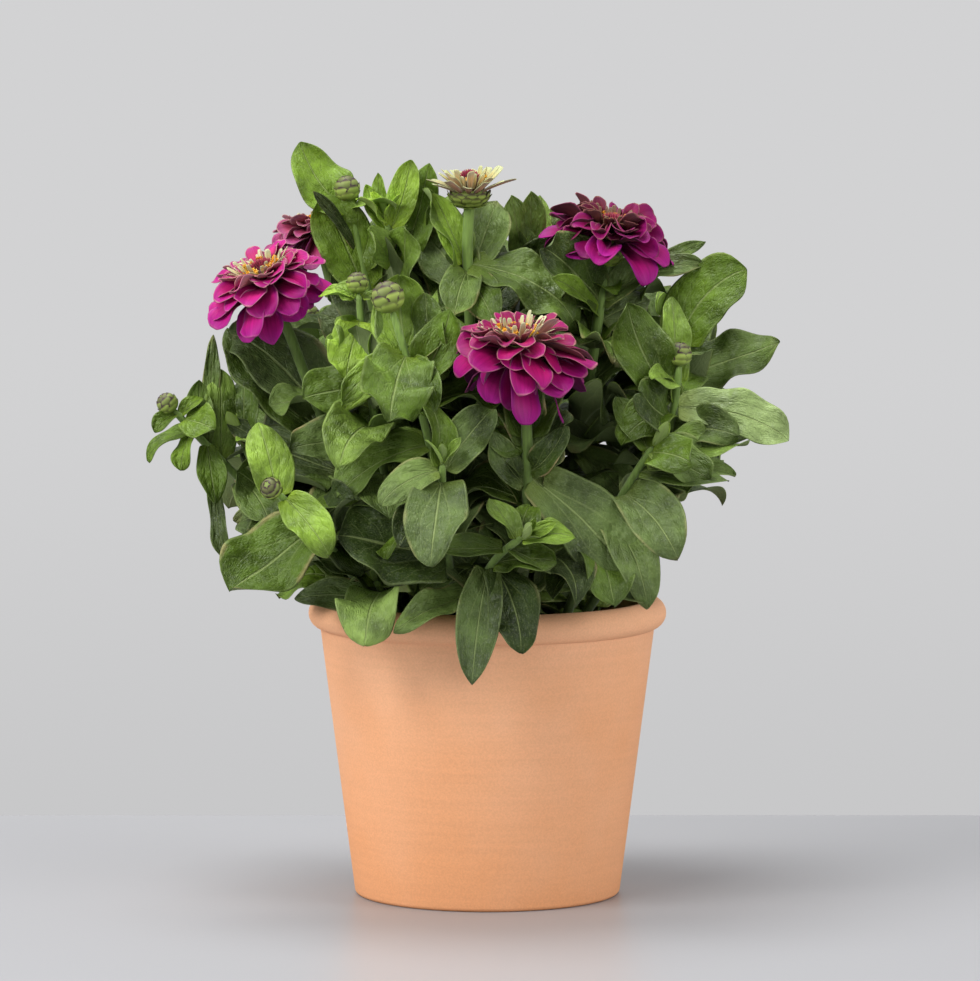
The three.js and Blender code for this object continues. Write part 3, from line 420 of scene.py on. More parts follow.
# What the filling leaves keep inside, seen from the front: [height, left, right], and how far front and back
FOLIAGE_EDGE = [
    [110, -62, 56], [124, -72, 60], [137, -98, 64], [150, -106, 72], [166, -108, 84], [196, -106, 98],
    [216, -106, 98], [232, -102, 106], [250, -98, 102], [265, -66, 96], [280, -60, 30], [298, -58, -20],
]
FOLIAGE_TOP = [-30, -29]
FOLIAGE_FRONT = -74
FOLIAGE_BACK = 108
# The filling leaves: how far apart their pairs stand, how badly one may fit, and the cells that are counted
FILL_SPACING = 22
FILL_LIMIT = 8
CROWD_CELL = 4.5
VIEW_CELL = 6
VIEW_SLOPE = 0.09
FAR_IN_FRONT = -1000

# The light: the room's strength low down and high up, and the name, place, width and watts of each softbox
ROOM_LOW = 0.44
ROOM_HIGH = 0.76
SOFTBOXES = [
    ("left_softbox", (-2.0, -0.9, 1.3), 1.0, 29),
    ("key_softbox", (-1.4, -1.7, 1.9), 1.0, 28),
    ("right_softbox", (2.0, -1.1, 0.9), 1.2, 21),
    ("top_softbox", (-0.3, 0.2, 2.2), 1.2, 36),
]
LIT_POINT = Vector((0, 0, 0.17))
# The board that the pot stands on: width, depth and thickness, and how far behind the pot its back edge is
TABLE_SIZE = (7000, 5000, 30)
TABLE_BACK = 221


def draw(k):
    """A repeatable draw from 0 to 1 for whole number k."""
    x = math.sin(k * 12.9898 + 4.1414) * 43758.5453
    return x - math.floor(x)


def sway(k):
    """A repeatable draw from -1 to 1."""
    return 2 * draw(k) - 1


def lerp(a, b, share):
    """The number that lies between a and b by that share."""
    return a + (b - a) * share


def ease(low, high, x):
    """0 below low, 1 above high and a smooth step between."""
    share = min(1, max(0, (x - low) / (high - low)))
    return share * share * (3 - 2 * share)


def heading(turn):
    """The level direction at a compass turn in degrees, and the level direction to its right."""
    turn = math.radians(turn)
    forward = Vector((math.cos(turn), math.sin(turn), 0))
    return forward, Vector((forward.y, -forward.x, 0))


def linear(code):
    """An sRGB hex colour as linear red, green, blue and alpha."""
    parts = [int(code[i : i + 2], 16) / 255 for i in (1, 3, 5)]
    return (*[c / 12.92 if c <= 0.04045 else ((c + 0.055) / 1.055) ** 2.4 for c in parts], 1)


def mixed(one, other, share):
    """The linear colour between two, or the row of numbers between two, by that share."""
    return tuple(lerp(a, b, share) for a, b in zip(one, other))


def blended(one, other, share):
    """The linear colour between two hex ones."""
    return mixed(linear(one), linear(other), share)


def dimmed(tone, factor):
    """A linear colour made darker or lighter."""
    return tuple(c * factor for c in tone[:3]) + (1,)


BRACT_TONE = linear("#9bb052")
BRACT_MARGIN = linear("#3c1e30")


# Material nodes. A smooth step and a mix of colours are set the same way each time.

EASED = {"interpolation_type": "SMOOTHSTEP"}
MIXED = {"out": 2, "data_type": "RGBA"}


def add_node(tree, kind, inputs=(), out=0, **settings):
    """Adds a node with its settings and inputs, constants or what feeds them. Gives an output or the node."""
    node = tree.nodes.new("ShaderNode" + kind)
    for key, value in settings.items():
        setattr(node, key, value)
    for key, value in dict(inputs).items():
        if isinstance(value, bpy.types.NodeSocket):
            tree.links.new(value, node.inputs[key])
        else:
            node.inputs[key].default_value = value
    return node if out is None else node.outputs[out]


def finish_named(name):
    """A new material with an empty node tree, and what adds nodes to it."""
    made = bpy.data.materials.new(name)
    made.use_nodes = True
    made.node_tree.nodes.clear()
    return made, partial(add_node, made.node_tree)


def show(add, shader):
    """Sends a shader to the material's output."""
    add("OutputMaterial", {"Surface": shader}, out=None)


def read_blade(add, name):
    """Reads a blade: across, along and a draw in blade, width, length and age (or pale rim) in blade_size."""
    parts = add("SeparateXYZ", {0: add("Attribute", out="Vector", attribute_name=name)}, out=None)
    return parts.outputs[0], parts.outputs[1], parts.outputs[2]


def leaf_pattern(add):
    """A leaf's pattern: its foot, its veins, the net between them, its margin, its swell, its withering."""
    across, along, seed = read_blade(add, "blade")
    width, length, age = read_blade(add, "blade_size")
    aside = add("Math", {0: across}, operation="ABSOLUTE")
    midrib = add("MapRange", {0: aside, 1: 0.055, 2: 0.012}, **EASED)
    # Two strong nerves part from the midrib at the base and keep between it and the margin
    parting = add("MapRange", {0: along, 1: -0.12, 2: 0.6, 4: 0.46}, **EASED)
    off_nerve = add("Math", {0: aside, 1: parting}, operation="SUBTRACT")
    off_nerve = add("Math", {0: off_nerve}, operation="ABSOLUTE")
    nerve = add("MapRange", {0: off_nerve, 1: 0.045, 2: 0.01}, **EASED)
    fading = add("MapRange", {0: along, 1: 0.85, 2: 0.2, 4: 0.42})
    nerve = add("Math", {0: nerve, 1: fading}, operation="MULTIPLY")
    # Fainter side veins leave the midrib in turn and bow towards the tip
    bow = add("Math", {0: aside, 1: 1.25}, operation="POWER")
    reach = add("Math", {0: bow, 1: 0.42}, operation="MULTIPLY")
    place = add("TexCoord", out="Object")
    stray = add("TexNoise", {"Vector": place, "Scale": 1 / (9 * MM), "Detail": 1})
    strayed = add("Math", {0: stray, 1: 0.2, 2: along}, operation="MULTIPLY_ADD")
    start = add("Math", {0: strayed, 1: reach}, operation="SUBTRACT")
    right = add("Math", {0: across, 1: 0}, operation="GREATER_THAN")
    stagger = add("Math", {0: right, 1: 0.45, 2: seed}, operation="MULTIPLY_ADD")
    turns = add("Math", {0: start, 1: VEINS_A_SIDE, 2: stagger}, operation="MULTIPLY_ADD")
    nearest = add("Math", {0: turns, 1: 0.5}, operation="PINGPONG")
    line = add("MapRange", {0: nearest, 1: 0.05, 2: 0.01, 4: 0.22}, **EASED)
    side_veins = add("Math", {0: line, 1: nerve}, operation="MAXIMUM")
    veins = add("Math", {0: midrib, 1: side_veins}, operation="MAXIMUM")
    # The finest net of veins lies between them, in cells of about 2 mm
    flat_x = add("Math", {0: across, 1: width}, operation="MULTIPLY")
    flat_y = add("Math", {0: along, 1: length}, operation="MULTIPLY")
    flat = add("CombineXYZ", {0: flat_x, 1: flat_y, 2: seed})
    net = add("TexVoronoi", {"Vector": flat, "Scale": 1 / NET_CELL}, feature="DISTANCE_TO_EDGE")
    margin = add("MapRange", {0: aside, 1: 0.965, 2: 0.995}, **EASED)
    quilting = add("MapRange", {0: off_nerve, 1: 0.0, 2: 0.3}, **EASED)
    swell = add("Math", {0: nearest, 1: quilting}, operation="ADD")
    foot = add("MapRange", {0: along, 1: 0.22, 2: 0.0}, **EASED)
    near_edge = add("Math", {0: aside, 1: along}, operation="MAXIMUM")
    drying = add("MapRange", {0: near_edge, 1: 0.86, 2: 1.0}, **EASED)
    withering = add("Math", {0: drying, 1: age}, operation="MULTIPLY")
    return foot, veins, net, margin, swell, withering


def leaf_upper_finish():
    """The upper side of a living leaf: satin and waxy, with sunken pale veins, and it lets light through."""
    made, add = finish_named("zinnia_leaf_upper")
    tone = add("Attribute", out="Color", attribute_name="tone")
    foot, veins, net, margin, swell, withering = leaf_pattern(add)
    place = add("TexCoord", out="Object")
    # Cloudy patches about 14 mm across make the colour darker and lighter: partly the leaf's own mottle,
    # partly painted shade and painted highlight, as where the blade folds and bulges.
    mottle_and_shade = add("TexNoise", {"Vector": place, "Scale": 1 / (14 * MM), "Detail": 3})
    light = add("MapRange", {0: mottle_and_shade, 1: 0.3, 2: 0.7, 3: 0.52, 4: 1.62})
    shaded = add("VectorMath", {0: tone, "Scale": light}, operation="SCALE")
    netted = add("MapRange", {0: net, 1: 0.0, 2: 0.12, 3: 1.12, 4: 1.0})
    shaded = add("VectorMath", {0: shaded, "Scale": netted}, operation="SCALE")
    fresh = add("VectorMath", {0: tone, 1: (1.5, 1.4, 1.1)}, operation="MULTIPLY")
    shaded = add("Mix", {0: foot, 6: shaded, 7: fresh}, **MIXED)
    vein_colour = add("Mix", {0: 0.45, 6: tone, 7: linear(LEAF_TONES["vein"])}, **MIXED)
    strength = add("Math", {0: veins, 1: 0.82}, operation="MULTIPLY")
    veined = add("Mix", {0: strength, 6: shaded, 7: vein_colour}, **MIXED)
    rim = add("Math", {0: margin, 1: 0.3}, operation="MULTIPLY")
    edged = add("Mix", {0: rim, 6: veined, 7: vein_colour}, **MIXED)
    # Short pale hairs and specks of dust, drawn as coarse as they need to show
    dust = add("TexNoise", {"Vector": place, "Scale": 1 / (0.7 * MM), "Detail": 2})
    specks = add("MapRange", {0: dust, 1: 0.54, 2: 0.7, 4: 0.34})
    speckled = add("Mix", {0: specks, 6: edged, 7: vein_colour}, **MIXED)
    # Old tips and margins dry out to a pale brown here and there
    dry_spots = add("MapRange", {0: mottle_and_shade, 1: 0.52, 2: 0.62})
    dry = add("Math", {0: withering, 1: dry_spots}, operation="MULTIPLY")
    colour = add("Mix", {0: dry, 6: speckled, 7: linear(LEAF_TONES["dry"])}, **MIXED)
    grain = add("TexNoise", {"Vector": place, "Scale": 1 / (1.1 * MM), "Detail": 2})
    bulge = add("Math", {0: swell, 1: 0.35}, operation="MULTIPLY")
    sunk = add("Math", {0: veins, 1: -0.5, 2: bulge}, operation="MULTIPLY_ADD")
    puckered = add("Math", {0: net, 1: 0.5, 2: sunk}, operation="MULTIPLY_ADD")
    height = add("Math", {0: grain, 1: 0.12, 2: puckered}, operation="MULTIPLY_ADD")
    billow = add("TexNoise", {"Vector": place, "Scale": 1 / (6 * MM), "Detail": 1})
    height = add("Math", {0: billow, 1: 2.0, 2: height}, operation="MULTIPLY_ADD")
    bump = add("Bump", {"Strength": 0.95, "Distance": 1.1 * MM, "Height": height})
    gloss = add("MapRange", {0: mottle_and_shade, 1: 0.3, 2: 0.7, 3: 0.4, 4: 0.56})
    skin = {"Base Color": colour, "Roughness": gloss, "Specular IOR Level": 0.32, "Normal": bump}
    through = add("VectorMath", {0: tone, 1: (1.5, 1.75, 0.6)}, operation="MULTIPLY")
    glow = add("BsdfTranslucent", {"Color": through})
    show(add, add("MixShader", {0: 0.14, 1: add("BsdfPrincipled", skin), 2: glow}))
    return made


def leaf_under_finish():
    """The underside of a leaf: paler, matt and finely downy, with raised veins."""
    made, add = finish_named("zinnia_leaf_underside")
    tone = add("Attribute", out="Color", attribute_name="tone")
    _, veins, net, *_ = leaf_pattern(add)
    pale = add("Mix", {0: 0.42, 6: tone, 7: linear("#9cab78")}, **MIXED)
    strength = add("Math", {0: veins, 1: 0.5}, operation="MULTIPLY")
    colour = add("Mix", {0: strength, 6: pale, 7: linear("#b9c595")}, **MIXED)
    height = add("Math", {0: veins, 1: 0.8, 2: net}, operation="MULTIPLY_ADD")
    bump = add("Bump", {"Strength": 0.6, "Distance": 0.5 * MM, "Height": height})
    skin = {"Base Color": colour, "Roughness": 0.72, "Specular IOR Level": 0.3, "Normal": bump}
    glow = add("BsdfTranslucent", {"Color": pale})
    show(add, add("MixShader", {0: 0.2, 1: add("BsdfPrincipled", skin), 2: glow}))
    return made


def petal_finish(name, tone_name, roughness, base_dark):
    """A ray petal's skin: velvety, finely striped lengthwise, dark at its claw and pale at its margin."""
    made, add = finish_named(name)
    across, along, seed = read_blade(add, "blade")
    tone = add("Attribute", out="Color", attribute_name=tone_name)
    margin_tone = add("Attribute", out="Color", attribute_name="margin_tone")
    _, _, pale_rim = read_blade(add, "blade_size")
    aside = add("Math", {0: across}, operation="ABSOLUTE")
    stripe_x = add("Math", {0: across, 1: 7}, operation="MULTIPLY")
    stripe_y = add("Math", {0: along, 1: 1.2}, operation="MULTIPLY")
    stripe_at = add("CombineXYZ", {0: stripe_x, 1: stripe_y, 2: seed})
    stripes = add("TexNoise", {"Vector": stripe_at, "Scale": 1, "Detail": 2})
    shade = add("MapRange", {0: stripes, 1: 0.3, 2: 0.7, 3: 0.8, 4: 1.14})
    striped = add("VectorMath", {0: tone, "Scale": shade}, operation="SCALE")
    claw = add("MapRange", {0: along, 1: 0.1, 2: 0.7, 3: base_dark, 4: 1}, **EASED)
    shaded = add("VectorMath", {0: striped, "Scale": claw}, operation="SCALE")
    violet = add("VectorMath", {0: shaded, 1: (0.75, 1.0, 1.3)}, operation="MULTIPLY")
    edge = add("Math", {0: aside, 1: along}, operation="MAXIMUM")
    towards_edge = add("MapRange", {0: edge, 1: 0.55, 2: 1.0}, **EASED)
    flushed = add("Mix", {0: towards_edge, 6: shaded, 7: violet}, **MIXED)
    at_edge = add("MapRange", {0: edge, 1: 0.95, 2: 1.0}, **EASED)
    rim = add("Math", {0: at_edge, 1: pale_rim}, operation="MULTIPLY")
    colour = add("Mix", {0: rim, 6: flushed, 7: margin_tone}, **MIXED)
    bump = add("Bump", {"Strength": 0.5, "Distance": 0.3 * MM, "Height": stripes})
    skin = {
        "Base Color": colour, "Roughness": roughness, "Specular IOR Level": 0.2,
        "Sheen Weight": 0.03, "Sheen Roughness": 0.4, "Normal": bump,
    }
    glow = add("BsdfTranslucent", {"Color": colour})
    show(add, add("MixShader", {0: 0.18, 1: add("BsdfPrincipled", skin), 2: glow}))
    return made


def stalk_finish():
    """A herbaceous stalk: green and finely ribbed, with a grey-green down."""
    made, add = finish_named("zinnia_stalk_green")
    tone = add("Attribute", out="Color", attribute_name="tone")
    place = add("TexCoord", out="Object")
    streak_at = add("Mapping", {"Vector": place, "Scale": (1, 1, 0.12)})
    streaks = add("TexNoise", {"Vector": streak_at, "Scale": 1 / (0.9 * MM), "Detail": 2})
    light = add("MapRange", {0: streaks, 1: 0.3, 2: 0.7, 3: 0.8, 4: 1.25})
    colour = add("VectorMath", {0: tone, "Scale": light}, operation="SCALE")
    bump = add("Bump", {"Strength": 0.4, "Distance": 0.3 * MM, "Height": streaks})
    skin = {
        "Base Color": colour, "Roughness": 0.6, "Specular IOR Level": 0.35,
        "Sheen Weight": 0.25, "Sheen Roughness": 0.5, "Normal": bump,
    }
    show(add, add("BsdfPrincipled", skin))
    return made


def bract_finish():
    """The scales of a bud or a cup: smooth pale green, each with a dark papery edge."""
    made, add = finish_named("zinnia_bract_green")
    across, along, _ = read_blade(add, "blade")
    tone = add("Attribute", out="Color", attribute_name="tone")
    margin_tone = add("Attribute", out="Color", attribute_name="margin_tone")
    aside = add("Math", {0: across}, operation="ABSOLUTE")
    edge = add("Math", {0: aside, 1: along}, operation="MAXIMUM")
    at_edge = add("MapRange", {0: edge, 1: 0.66, 2: 0.92, 4: 0.95}, **EASED)
    # Each scale is painted darker at its foot, as shade under the scale that overlaps it, and lighter towards
    # its tip.
    low = add("MapRange", {0: along, 1: 0.2, 2: 0.8, 3: 0.45, 4: 1.15})
    shaded = add("VectorMath", {0: tone, "Scale": low}, operation="SCALE")
    colour = add("Mix", {0: at_edge, 6: shaded, 7: margin_tone}, **MIXED)
    show(add, add("BsdfPrincipled", {"Base Color": colour, "Roughness": 0.55, "Specular IOR Level": 0.35}))
    return made


def floret_finish():
    """The florets and the crimson chaff of a bloom's middle: soft, each in its own colour."""
    made, add = finish_named("zinnia_floret")
    tone = add("Attribute", out="Color", attribute_name="tone")
    place = add("TexCoord", out="Object")
    specks = add("TexNoise", {"Vector": place, "Scale": 1 / (0.6 * MM), "Detail": 1})
    light = add("MapRange", {0: specks, 1: 0.3, 2: 0.7, 3: 0.75, 4: 1.2})
    colour = add("VectorMath", {0: tone, "Scale": light}, operation="SCALE")
    show(add, add("BsdfPrincipled", {"Base Color": colour, "Roughness": 0.6}))
    return made


def terracotta_finish():
    """Unglazed earthenware: chalky and matt, with faint clouds of lime, pits and the lines of its turning."""
    made, add = finish_named("unglazed_terracotta")
    place = add("TexCoord", out="Object")
    clouds = add("TexNoise", {"Vector": place, "Scale": 1 / (55 * MM), "Detail": 4})
    parts = add("SeparateXYZ", {0: place}, out=None)
    high = add("MapRange", {0: parts.outputs[2], 1: 0, 2: POT_HEIGHT * MM})
    cloudy = add("MapRange", {0: clouds, 1: 0.3, 2: 0.7, 3: -0.35, 4: 0.35})
    cloud = add("Math", {0: high, 1: cloudy}, operation="ADD", use_clamp=True)
    body = add("Mix", {0: cloud, 6: linear("#e8a473"), 7: linear("#ecb289")}, **MIXED)
    turned_at = add("Mapping", {"Vector": place, "Scale": (0.05, 0.05, 1)})
    lines = add("TexNoise", {"Vector": turned_at, "Scale": 1 / (2.2 * MM), "Detail": 2})
    grain = add("TexNoise", {"Vector": place, "Scale": 1 / (0.8 * MM), "Detail": 3})
    speck = add("MapRange", {0: grain, 1: 0.35, 2: 0.65, 3: 0.95, 4: 1.04})
    line_tone = add("MapRange", {0: lines, 1: 0.3, 2: 0.7, 3: 0.975, 4: 1.02})
    tone = add("Math", {0: speck, 1: line_tone}, operation="MULTIPLY")
    colour = add("VectorMath", {0: body, "Scale": tone}, operation="SCALE")
    relief = add("Math", {0: lines, 1: 0.5, 2: grain}, operation="MULTIPLY_ADD")
    bump = add("Bump", {"Strength": 0.35, "Distance": 0.25 * MM, "Height": relief})
    skin = {"Base Color": colour, "Roughness": 0.86, "Specular IOR Level": 0.28, "Normal": bump}
    show(add, add("BsdfPrincipled", skin))
    return made


def compost_finish():
    """Damp potting compost: dark brown peat with lighter fibre."""
    made, add = finish_named("damp_compost")
    crumbs = add("TexNoise", {"Vector": add("TexCoord", out="Object"), "Scale": 1 / (3 * MM), "Detail": 6})
    share = add("MapRange", {0: crumbs, 1: 0.4, 2: 0.7})
    colour = add("Mix", {0: share, 6: linear("#1d1511"), 7: linear("#4a392b")}, **MIXED)
    bump = add("Bump", {"Strength": 1, "Distance": 1.2 * MM, "Height": crumbs})
    show(add, add("BsdfPrincipled", {"Base Color": colour, "Roughness": 0.95, "Normal": bump}))
    return made


def table_finish():
    """A satin painted board, pale cool grey."""
    made, add = finish_named("satin_grey_board")
    paint = {"Base Color": linear("#9e9ea0"), "Roughness": 0.38, "Specular IOR Level": 0.4}
    show(add, add("BsdfPrincipled", paint))
    return made


LEAF_FINISHES = [leaf_upper_finish(), leaf_under_finish()]
PETAL_FINISHES = [
    petal_finish("zinnia_petal_face", "tone", 0.5, 0.3),
    petal_finish("zinnia_petal_back", "back_tone", 0.7, 0.8),
]
STALK_FINISH = stalk_finish()
BRACT_FINISH = bract_finish()
FLORET_FINISH = floret_finish()


# Mesh helpers

class Sheets:
    """A bmesh that leaves, petals or scales are added to, with what their finish reads."""

    def __init__(self):
        self.bm = bmesh.new()
        layers = self.bm.verts.layers
        self.blade = layers.float_vector.new("blade")
        self.size = layers.float_vector.new("blade_size")
        self.tone = layers.float_color.new("tone")
        self.back_tone = layers.float_color.new("back_tone")
        self.margin_tone = layers.float_color.new("margin_tone")

    def mark(self, vert, place, size, tone, back_tone=(0, 0, 0, 1), margin_tone=(0, 0, 0, 1)):
        """Gives a vertex its place on its blade, the blade's size and its colours."""
        vert[self.blade] = place
        vert[self.size] = size
        vert[self.tone] = tone
        vert[self.back_tone] = back_tone
        vert[self.margin_tone] = margin_tone

    def grid(self, columns, rows):
        """The vertices of a new flat blade, each with its place across, -1 to 1, and along, 0 to 1."""
        for vert in bmesh.ops.create_grid(self.bm, x_segments=columns, y_segments=rows, size=1)["verts"]:
            yield vert, vert.co.x, (vert.co.y + 1) / 2


def put(name, data):
    """Puts a mesh, a lamp or a camera in the scene."""
    made = bpy.data.objects.new(name, data)
    bpy.context.scene.collection.objects.link(made)
    return made


def put_mesh(name, bm):
    """Puts a bmesh in the scene, in metres."""
    bmesh.ops.scale(bm, vec=(MM, MM, MM), verts=bm.verts)
    mesh = bpy.data.meshes.new(name)
    bm.to_mesh(mesh)
    bm.free()
    return put(name, mesh)


def place_piece(name, bm, finishes, nodes, thickness=0, levels=0):
    """Makes the bmesh a piece of the plant or pot: smooth, riding on the body and standing for its nodes."""
    piece = put_mesh(name, bm)
    piece.data.shade_smooth()
    for finish in finishes:
        piece.data.materials.append(finish)
    if thickness:
        wall = piece.modifiers.new("thickness", "SOLIDIFY")
        wall.thickness = thickness * MM
        wall.offset = -1
        wall.material_offset = len(finishes) - 1
        wall.use_even_offset = False
    if levels:
        smooth = piece.modifiers.new("smooth", "SUBSURF")
        smooth.levels = levels
        smooth.render_levels = levels
    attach(piece, "root")
    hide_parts(*nodes)
    return piece


# Blades, much as the frame has them

def leaf_outline(along, blade):
    """The half width of a leaf along it, as a share of its widest: it clasps the stem and ends bluntly."""
    widest = blade.get("widest", 0.42)
    clasp = blade.get("clasp", 0.36)
    if along < widest:
        return clasp + (1 - clasp) * math.sin(math.pi / 2 * along / widest)
    fall = max(0, math.cos(math.pi / 2 * (along - widest) / (1 - widest)))
    return 0.02 + 0.98 * fall ** blade.get("blunt", 0.6)


def petal_outline(along, blade):
    """The half width of a ray petal, which is spoon shaped with a round end."""
    widest = 0.62
    claw = 0.28
    if along < widest:
        return claw + (1 - claw) * math.sin(math.pi / 2 * along / widest)
    return 0.26 + 0.74 * math.sqrt(max(0, 1 - ((along - widest) / (1 - widest)) ** 2.8))


def strap_outline(along, blade):
    """The half width of a strap shaped inner petal."""
    return 0.6 + 0.4 * math.sin(math.pi * min(1, along * 0.85))


def blade_point(blade, along, across, outline):
    """The point of a blade along its midrib and across it."""
    start = math.radians(blade["rise"])
    bend = math.radians(0.1 if abs(blade["bend"]) < 0.1 else blade["bend"])
    lift = start + bend * along
    forward, level = heading(blade["turn"])
    up = Vector((0, 0, 1))
    reach = blade["length"] * (math.sin(lift) - math.sin(start)) / bend + blade.get("inset", LEAF_INSET)
    climb = -blade["length"] * (math.cos(lift) - math.cos(start)) / bend
    face = up * math.cos(lift) - forward * math.sin(lift)
    roll = math.radians(blade.get("roll", 0) + blade.get("twist", 0) * along)
    side = level * math.cos(roll) + face * math.sin(roll)
    normal = face * math.cos(roll) - level * math.sin(roll)
    reach_aside = across * blade["width"] / 2 * outline(along, blade)
    cup = math.radians(blade["cup"]) * (1 - 0.6 * along)
    waves = blade.get("waves", 1.2) * along + blade["phase"] + (0.37 if across < 0 else 0)
    swell = blade["width"] * abs(across) ** 1.5 * min(1, 3 * along)
    heave = blade["wave"] * swell * math.sin(2 * math.pi * waves)
    # Each margin has a ruffle of its own, the tip of some blades curls over, and some sweep to one side
    frill = blade.get("frill", 0) * blade["width"] * across * across * min(1, 2.5 * along)
    own_phase = blade["phase"] * (4.1 if across < 0 else 2.3)
    heave += frill * math.sin(2 * math.pi * (blade.get("frills", 3) * along + own_phase))
    curl = blade.get("curl", 0) * max(0, along - 0.5) ** 2
    sweep = blade.get("sweep", 0) * blade["length"] * along * along
    middle = blade["base"] + forward * reach + up * climb
    aside = side * (reach_aside * math.cos(cup) + sweep)
    return middle + aside + normal * (abs(reach_aside) * math.sin(cup) + heave - curl * blade["length"])


def stem_point(stem, t):
    """The centre line of a stem: one easy bend from the compost to its top."""
    root = Vector((*stem["root"], SOIL_LEVEL))
    return (1 - t) ** 2 * root + 2 * t * (1 - t) * Vector(stem["elbow"]) + t * t * Vector(stem["top"])


def stem_leaves(stem, order):
    """The leaves that the frame has, each with a small draw of its own."""
    listed = list(stem.get("leaves", []))
    for at, turn, length, rise, bend in stem.get("pairs", []):
        listed.append([at, turn, rise, bend, length, length * 0.58])
        listed.append([at, turn + 180, rise - 5, bend - 5, length * 0.94, length * 0.56])
    blades = []
    for i, (at, turn, rise, bend, length, width, *more) in enumerate(listed):
        seed = 40 * order + 5 * i
        blade = {
            "at": at, "base": stem_point(stem, at), "turn": turn + 4 * sway(seed + 1), "rise": rise,
            "bend": bend, "length": length, "width": width, "roll": more[0] if more else 40 * sway(seed + 6),
            "twist": 22 * sway(seed + 2), "cup": 14 + 10 * sway(seed + 3),
            "wave": 0.07 + 0.03 * sway(seed + 4), "phase": draw(seed + 5), "seed": seed,
        }
        blades.append({**blade, "youth": more[1]} if len(more) > 1 else blade)
    return blades


def seen_at(right, down, depth):
    """The point that the picture shows at a pixel, in mm, at a depth behind the middle of the pot."""
    camera = Vector(CAMERA_PLACE) / MM
    forward = (Vector(CAMERA_TARGET) / MM - camera).normalized()
    up = Vector((1, 0, 0)).cross(forward)
    ray = forward * FOCAL_PIXELS + up * (PICTURE_HEIGHT / 2 - down)
    ray.x += right - PICTURE_WIDTH / 2
    return camera + ray * (depth - camera.y) / ray.y


def facing_roll(blade, facing, most):
    """The roll that turns the middle of a blade's upper side to a direction, but no further than most."""
    lift = math.radians(blade["rise"] + 0.5 * blade["bend"])
    forward, level = heading(blade["turn"])
    face = Vector((0, 0, math.cos(lift))) - forward * math.sin(lift)
    return max(-most, min(most, math.degrees(math.atan2(-level.dot(facing), face.dot(facing)))))


def added_leaves(stem, order):
    """The leaves of a stem that the frame leaves out, each reaching to its own tip."""
    blades = []
    for i, (at, tip, bend, width, youth, *own) in enumerate(ADDED_LEAVES.get(stem["name"], [])):
        seed = ADDED_DRAWS + 400 * order + 20 * i
        base = stem_point(stem, at)
        reach = seen_at(*tip) - base
        half = math.radians(max(1, abs(bend))) / 2
        shape = {"curl": 0.2 * sway(seed + 6), "sweep": 0.04 * sway(seed + 7)}
        blade = {
            "at": at, "base": base, "turn": math.degrees(math.atan2(reach.y, reach.x)), "bend": bend,
            "rise": math.degrees(math.asin(reach.z / reach.length)) - 0.5 * bend,
            "length": (reach.length - LEAF_INSET) * half / math.sin(half), "width": width,
            "twist": 16 * sway(seed + 2), "cup": 14 + 8 * sway(seed + 3), "wave": 0.07,
            "phase": draw(seed + 5), "seed": seed, "youth": youth,
            "shape": {**shape, **(own[0] if own else {})},
        }
        viewer = Vector((0.3 * sway(seed + 1), -0.85, 0.5))
        blades.append({**blade, "roll": facing_roll(blade, viewer, 95)})
    return blades


def head_frame(centre, turn, rise):
    """The frame of a head: its own +Z is the way that it faces."""
    lift = math.radians(rise)
    forward, right = heading(turn)
    facing = Vector((math.cos(lift) * forward.x, math.cos(lift) * forward.y, math.sin(lift)))
    first = -right
    return Matrix.Translation(centre) @ Matrix((first, facing.cross(first), facing)).transposed().to_4x4()


# Leaves

def leaf_tone(youth, pale):
    """The colour of a leaf by how new it is, from 0 to 1, greyed where it is pale."""
    place = min(2.999, max(0, youth * 3))
    low, high = LEAF_TONES[LEAF_AGES[int(place)]], LEAF_TONES[LEAF_AGES[int(place) + 1]]
    return mixed(blended(low, high, place - int(place)), linear(LEAF_TONES["grey"]), pale)


def add_leaf(sheets, blade, youth, columns=4, rows=12):
    """Adds one leaf: a grid bent to the blade, with its midrib sunk a little."""
    seed = blade["seed"]
    own = blade.get("shape", {})
    pale = own.get("pale", 0.42 * draw(seed + 10) ** 2 * (1 - youth))
    tone = dimmed(leaf_tone(youth + 0.14 * sway(seed + 9), pale), 1 + 0.2 * sway(seed + 8))
    fold = 0.07 * blade["width"]
    age = 0.75 * ease(0.3, 0.05, youth) * draw(seed + 22)
    shaped = {
        **blade, "widest": 0.45 + 0.09 * sway(seed + 15), "clasp": 0.58 + 0.1 * sway(seed + 16),
        "blunt": 0.55 + 0.13 * sway(seed + 17), "cup": blade["cup"] + 4 + 16 * sway(seed + 18),
        "frill": 0.15 + 0.09 * sway(seed + 11), "frills": blade["length"] / 25 + 0.5 * sway(seed + 12),
        "curl": 0.3 + 0.7 * sway(seed + 14), "sweep": 0.1 * sway(seed + 19), **own,
    }
    for vert, across, along in sheets.grid(columns, rows):
        vert.co = blade_point(shaped, along, across, leaf_outline)
        if abs(across) < 0.1:
            vert.co.z -= fold * math.sin(math.pi * min(1, along * 1.1))
        sheets.mark(vert, (across, along, draw(seed + 13)), (blade["width"], blade["length"], age), tone)


def leaf_points(blade):
    """Points spread over a leaf, to see what it comes near."""
    places = [(along, across) for along in (0.2, 0.36, 0.52, 0.68, 0.84, 1) for across in (-0.7, 0, 0.7)]
    return [blade_point(blade, along, across, leaf_outline) for along, across in places]


def as_framed(blade, tree):
    """The blade turned aside as the frame has it: where its midrib lies nearest to the node's mesh."""
    def off_by(aside):
        turned = {**blade, "turn": blade["turn"] + aside}
        middle = [blade_point(turned, along, 0, leaf_outline) * MM for along in (0.35, 0.6, 0.85)]
        return sum(tree.find_nearest(point)[3] for point in middle) / 3

    best = min(ASIDE, key=off_by)
    return {**blade, "turn": blade["turn"] + (best if off_by(best) < 3 * MM else 0)}


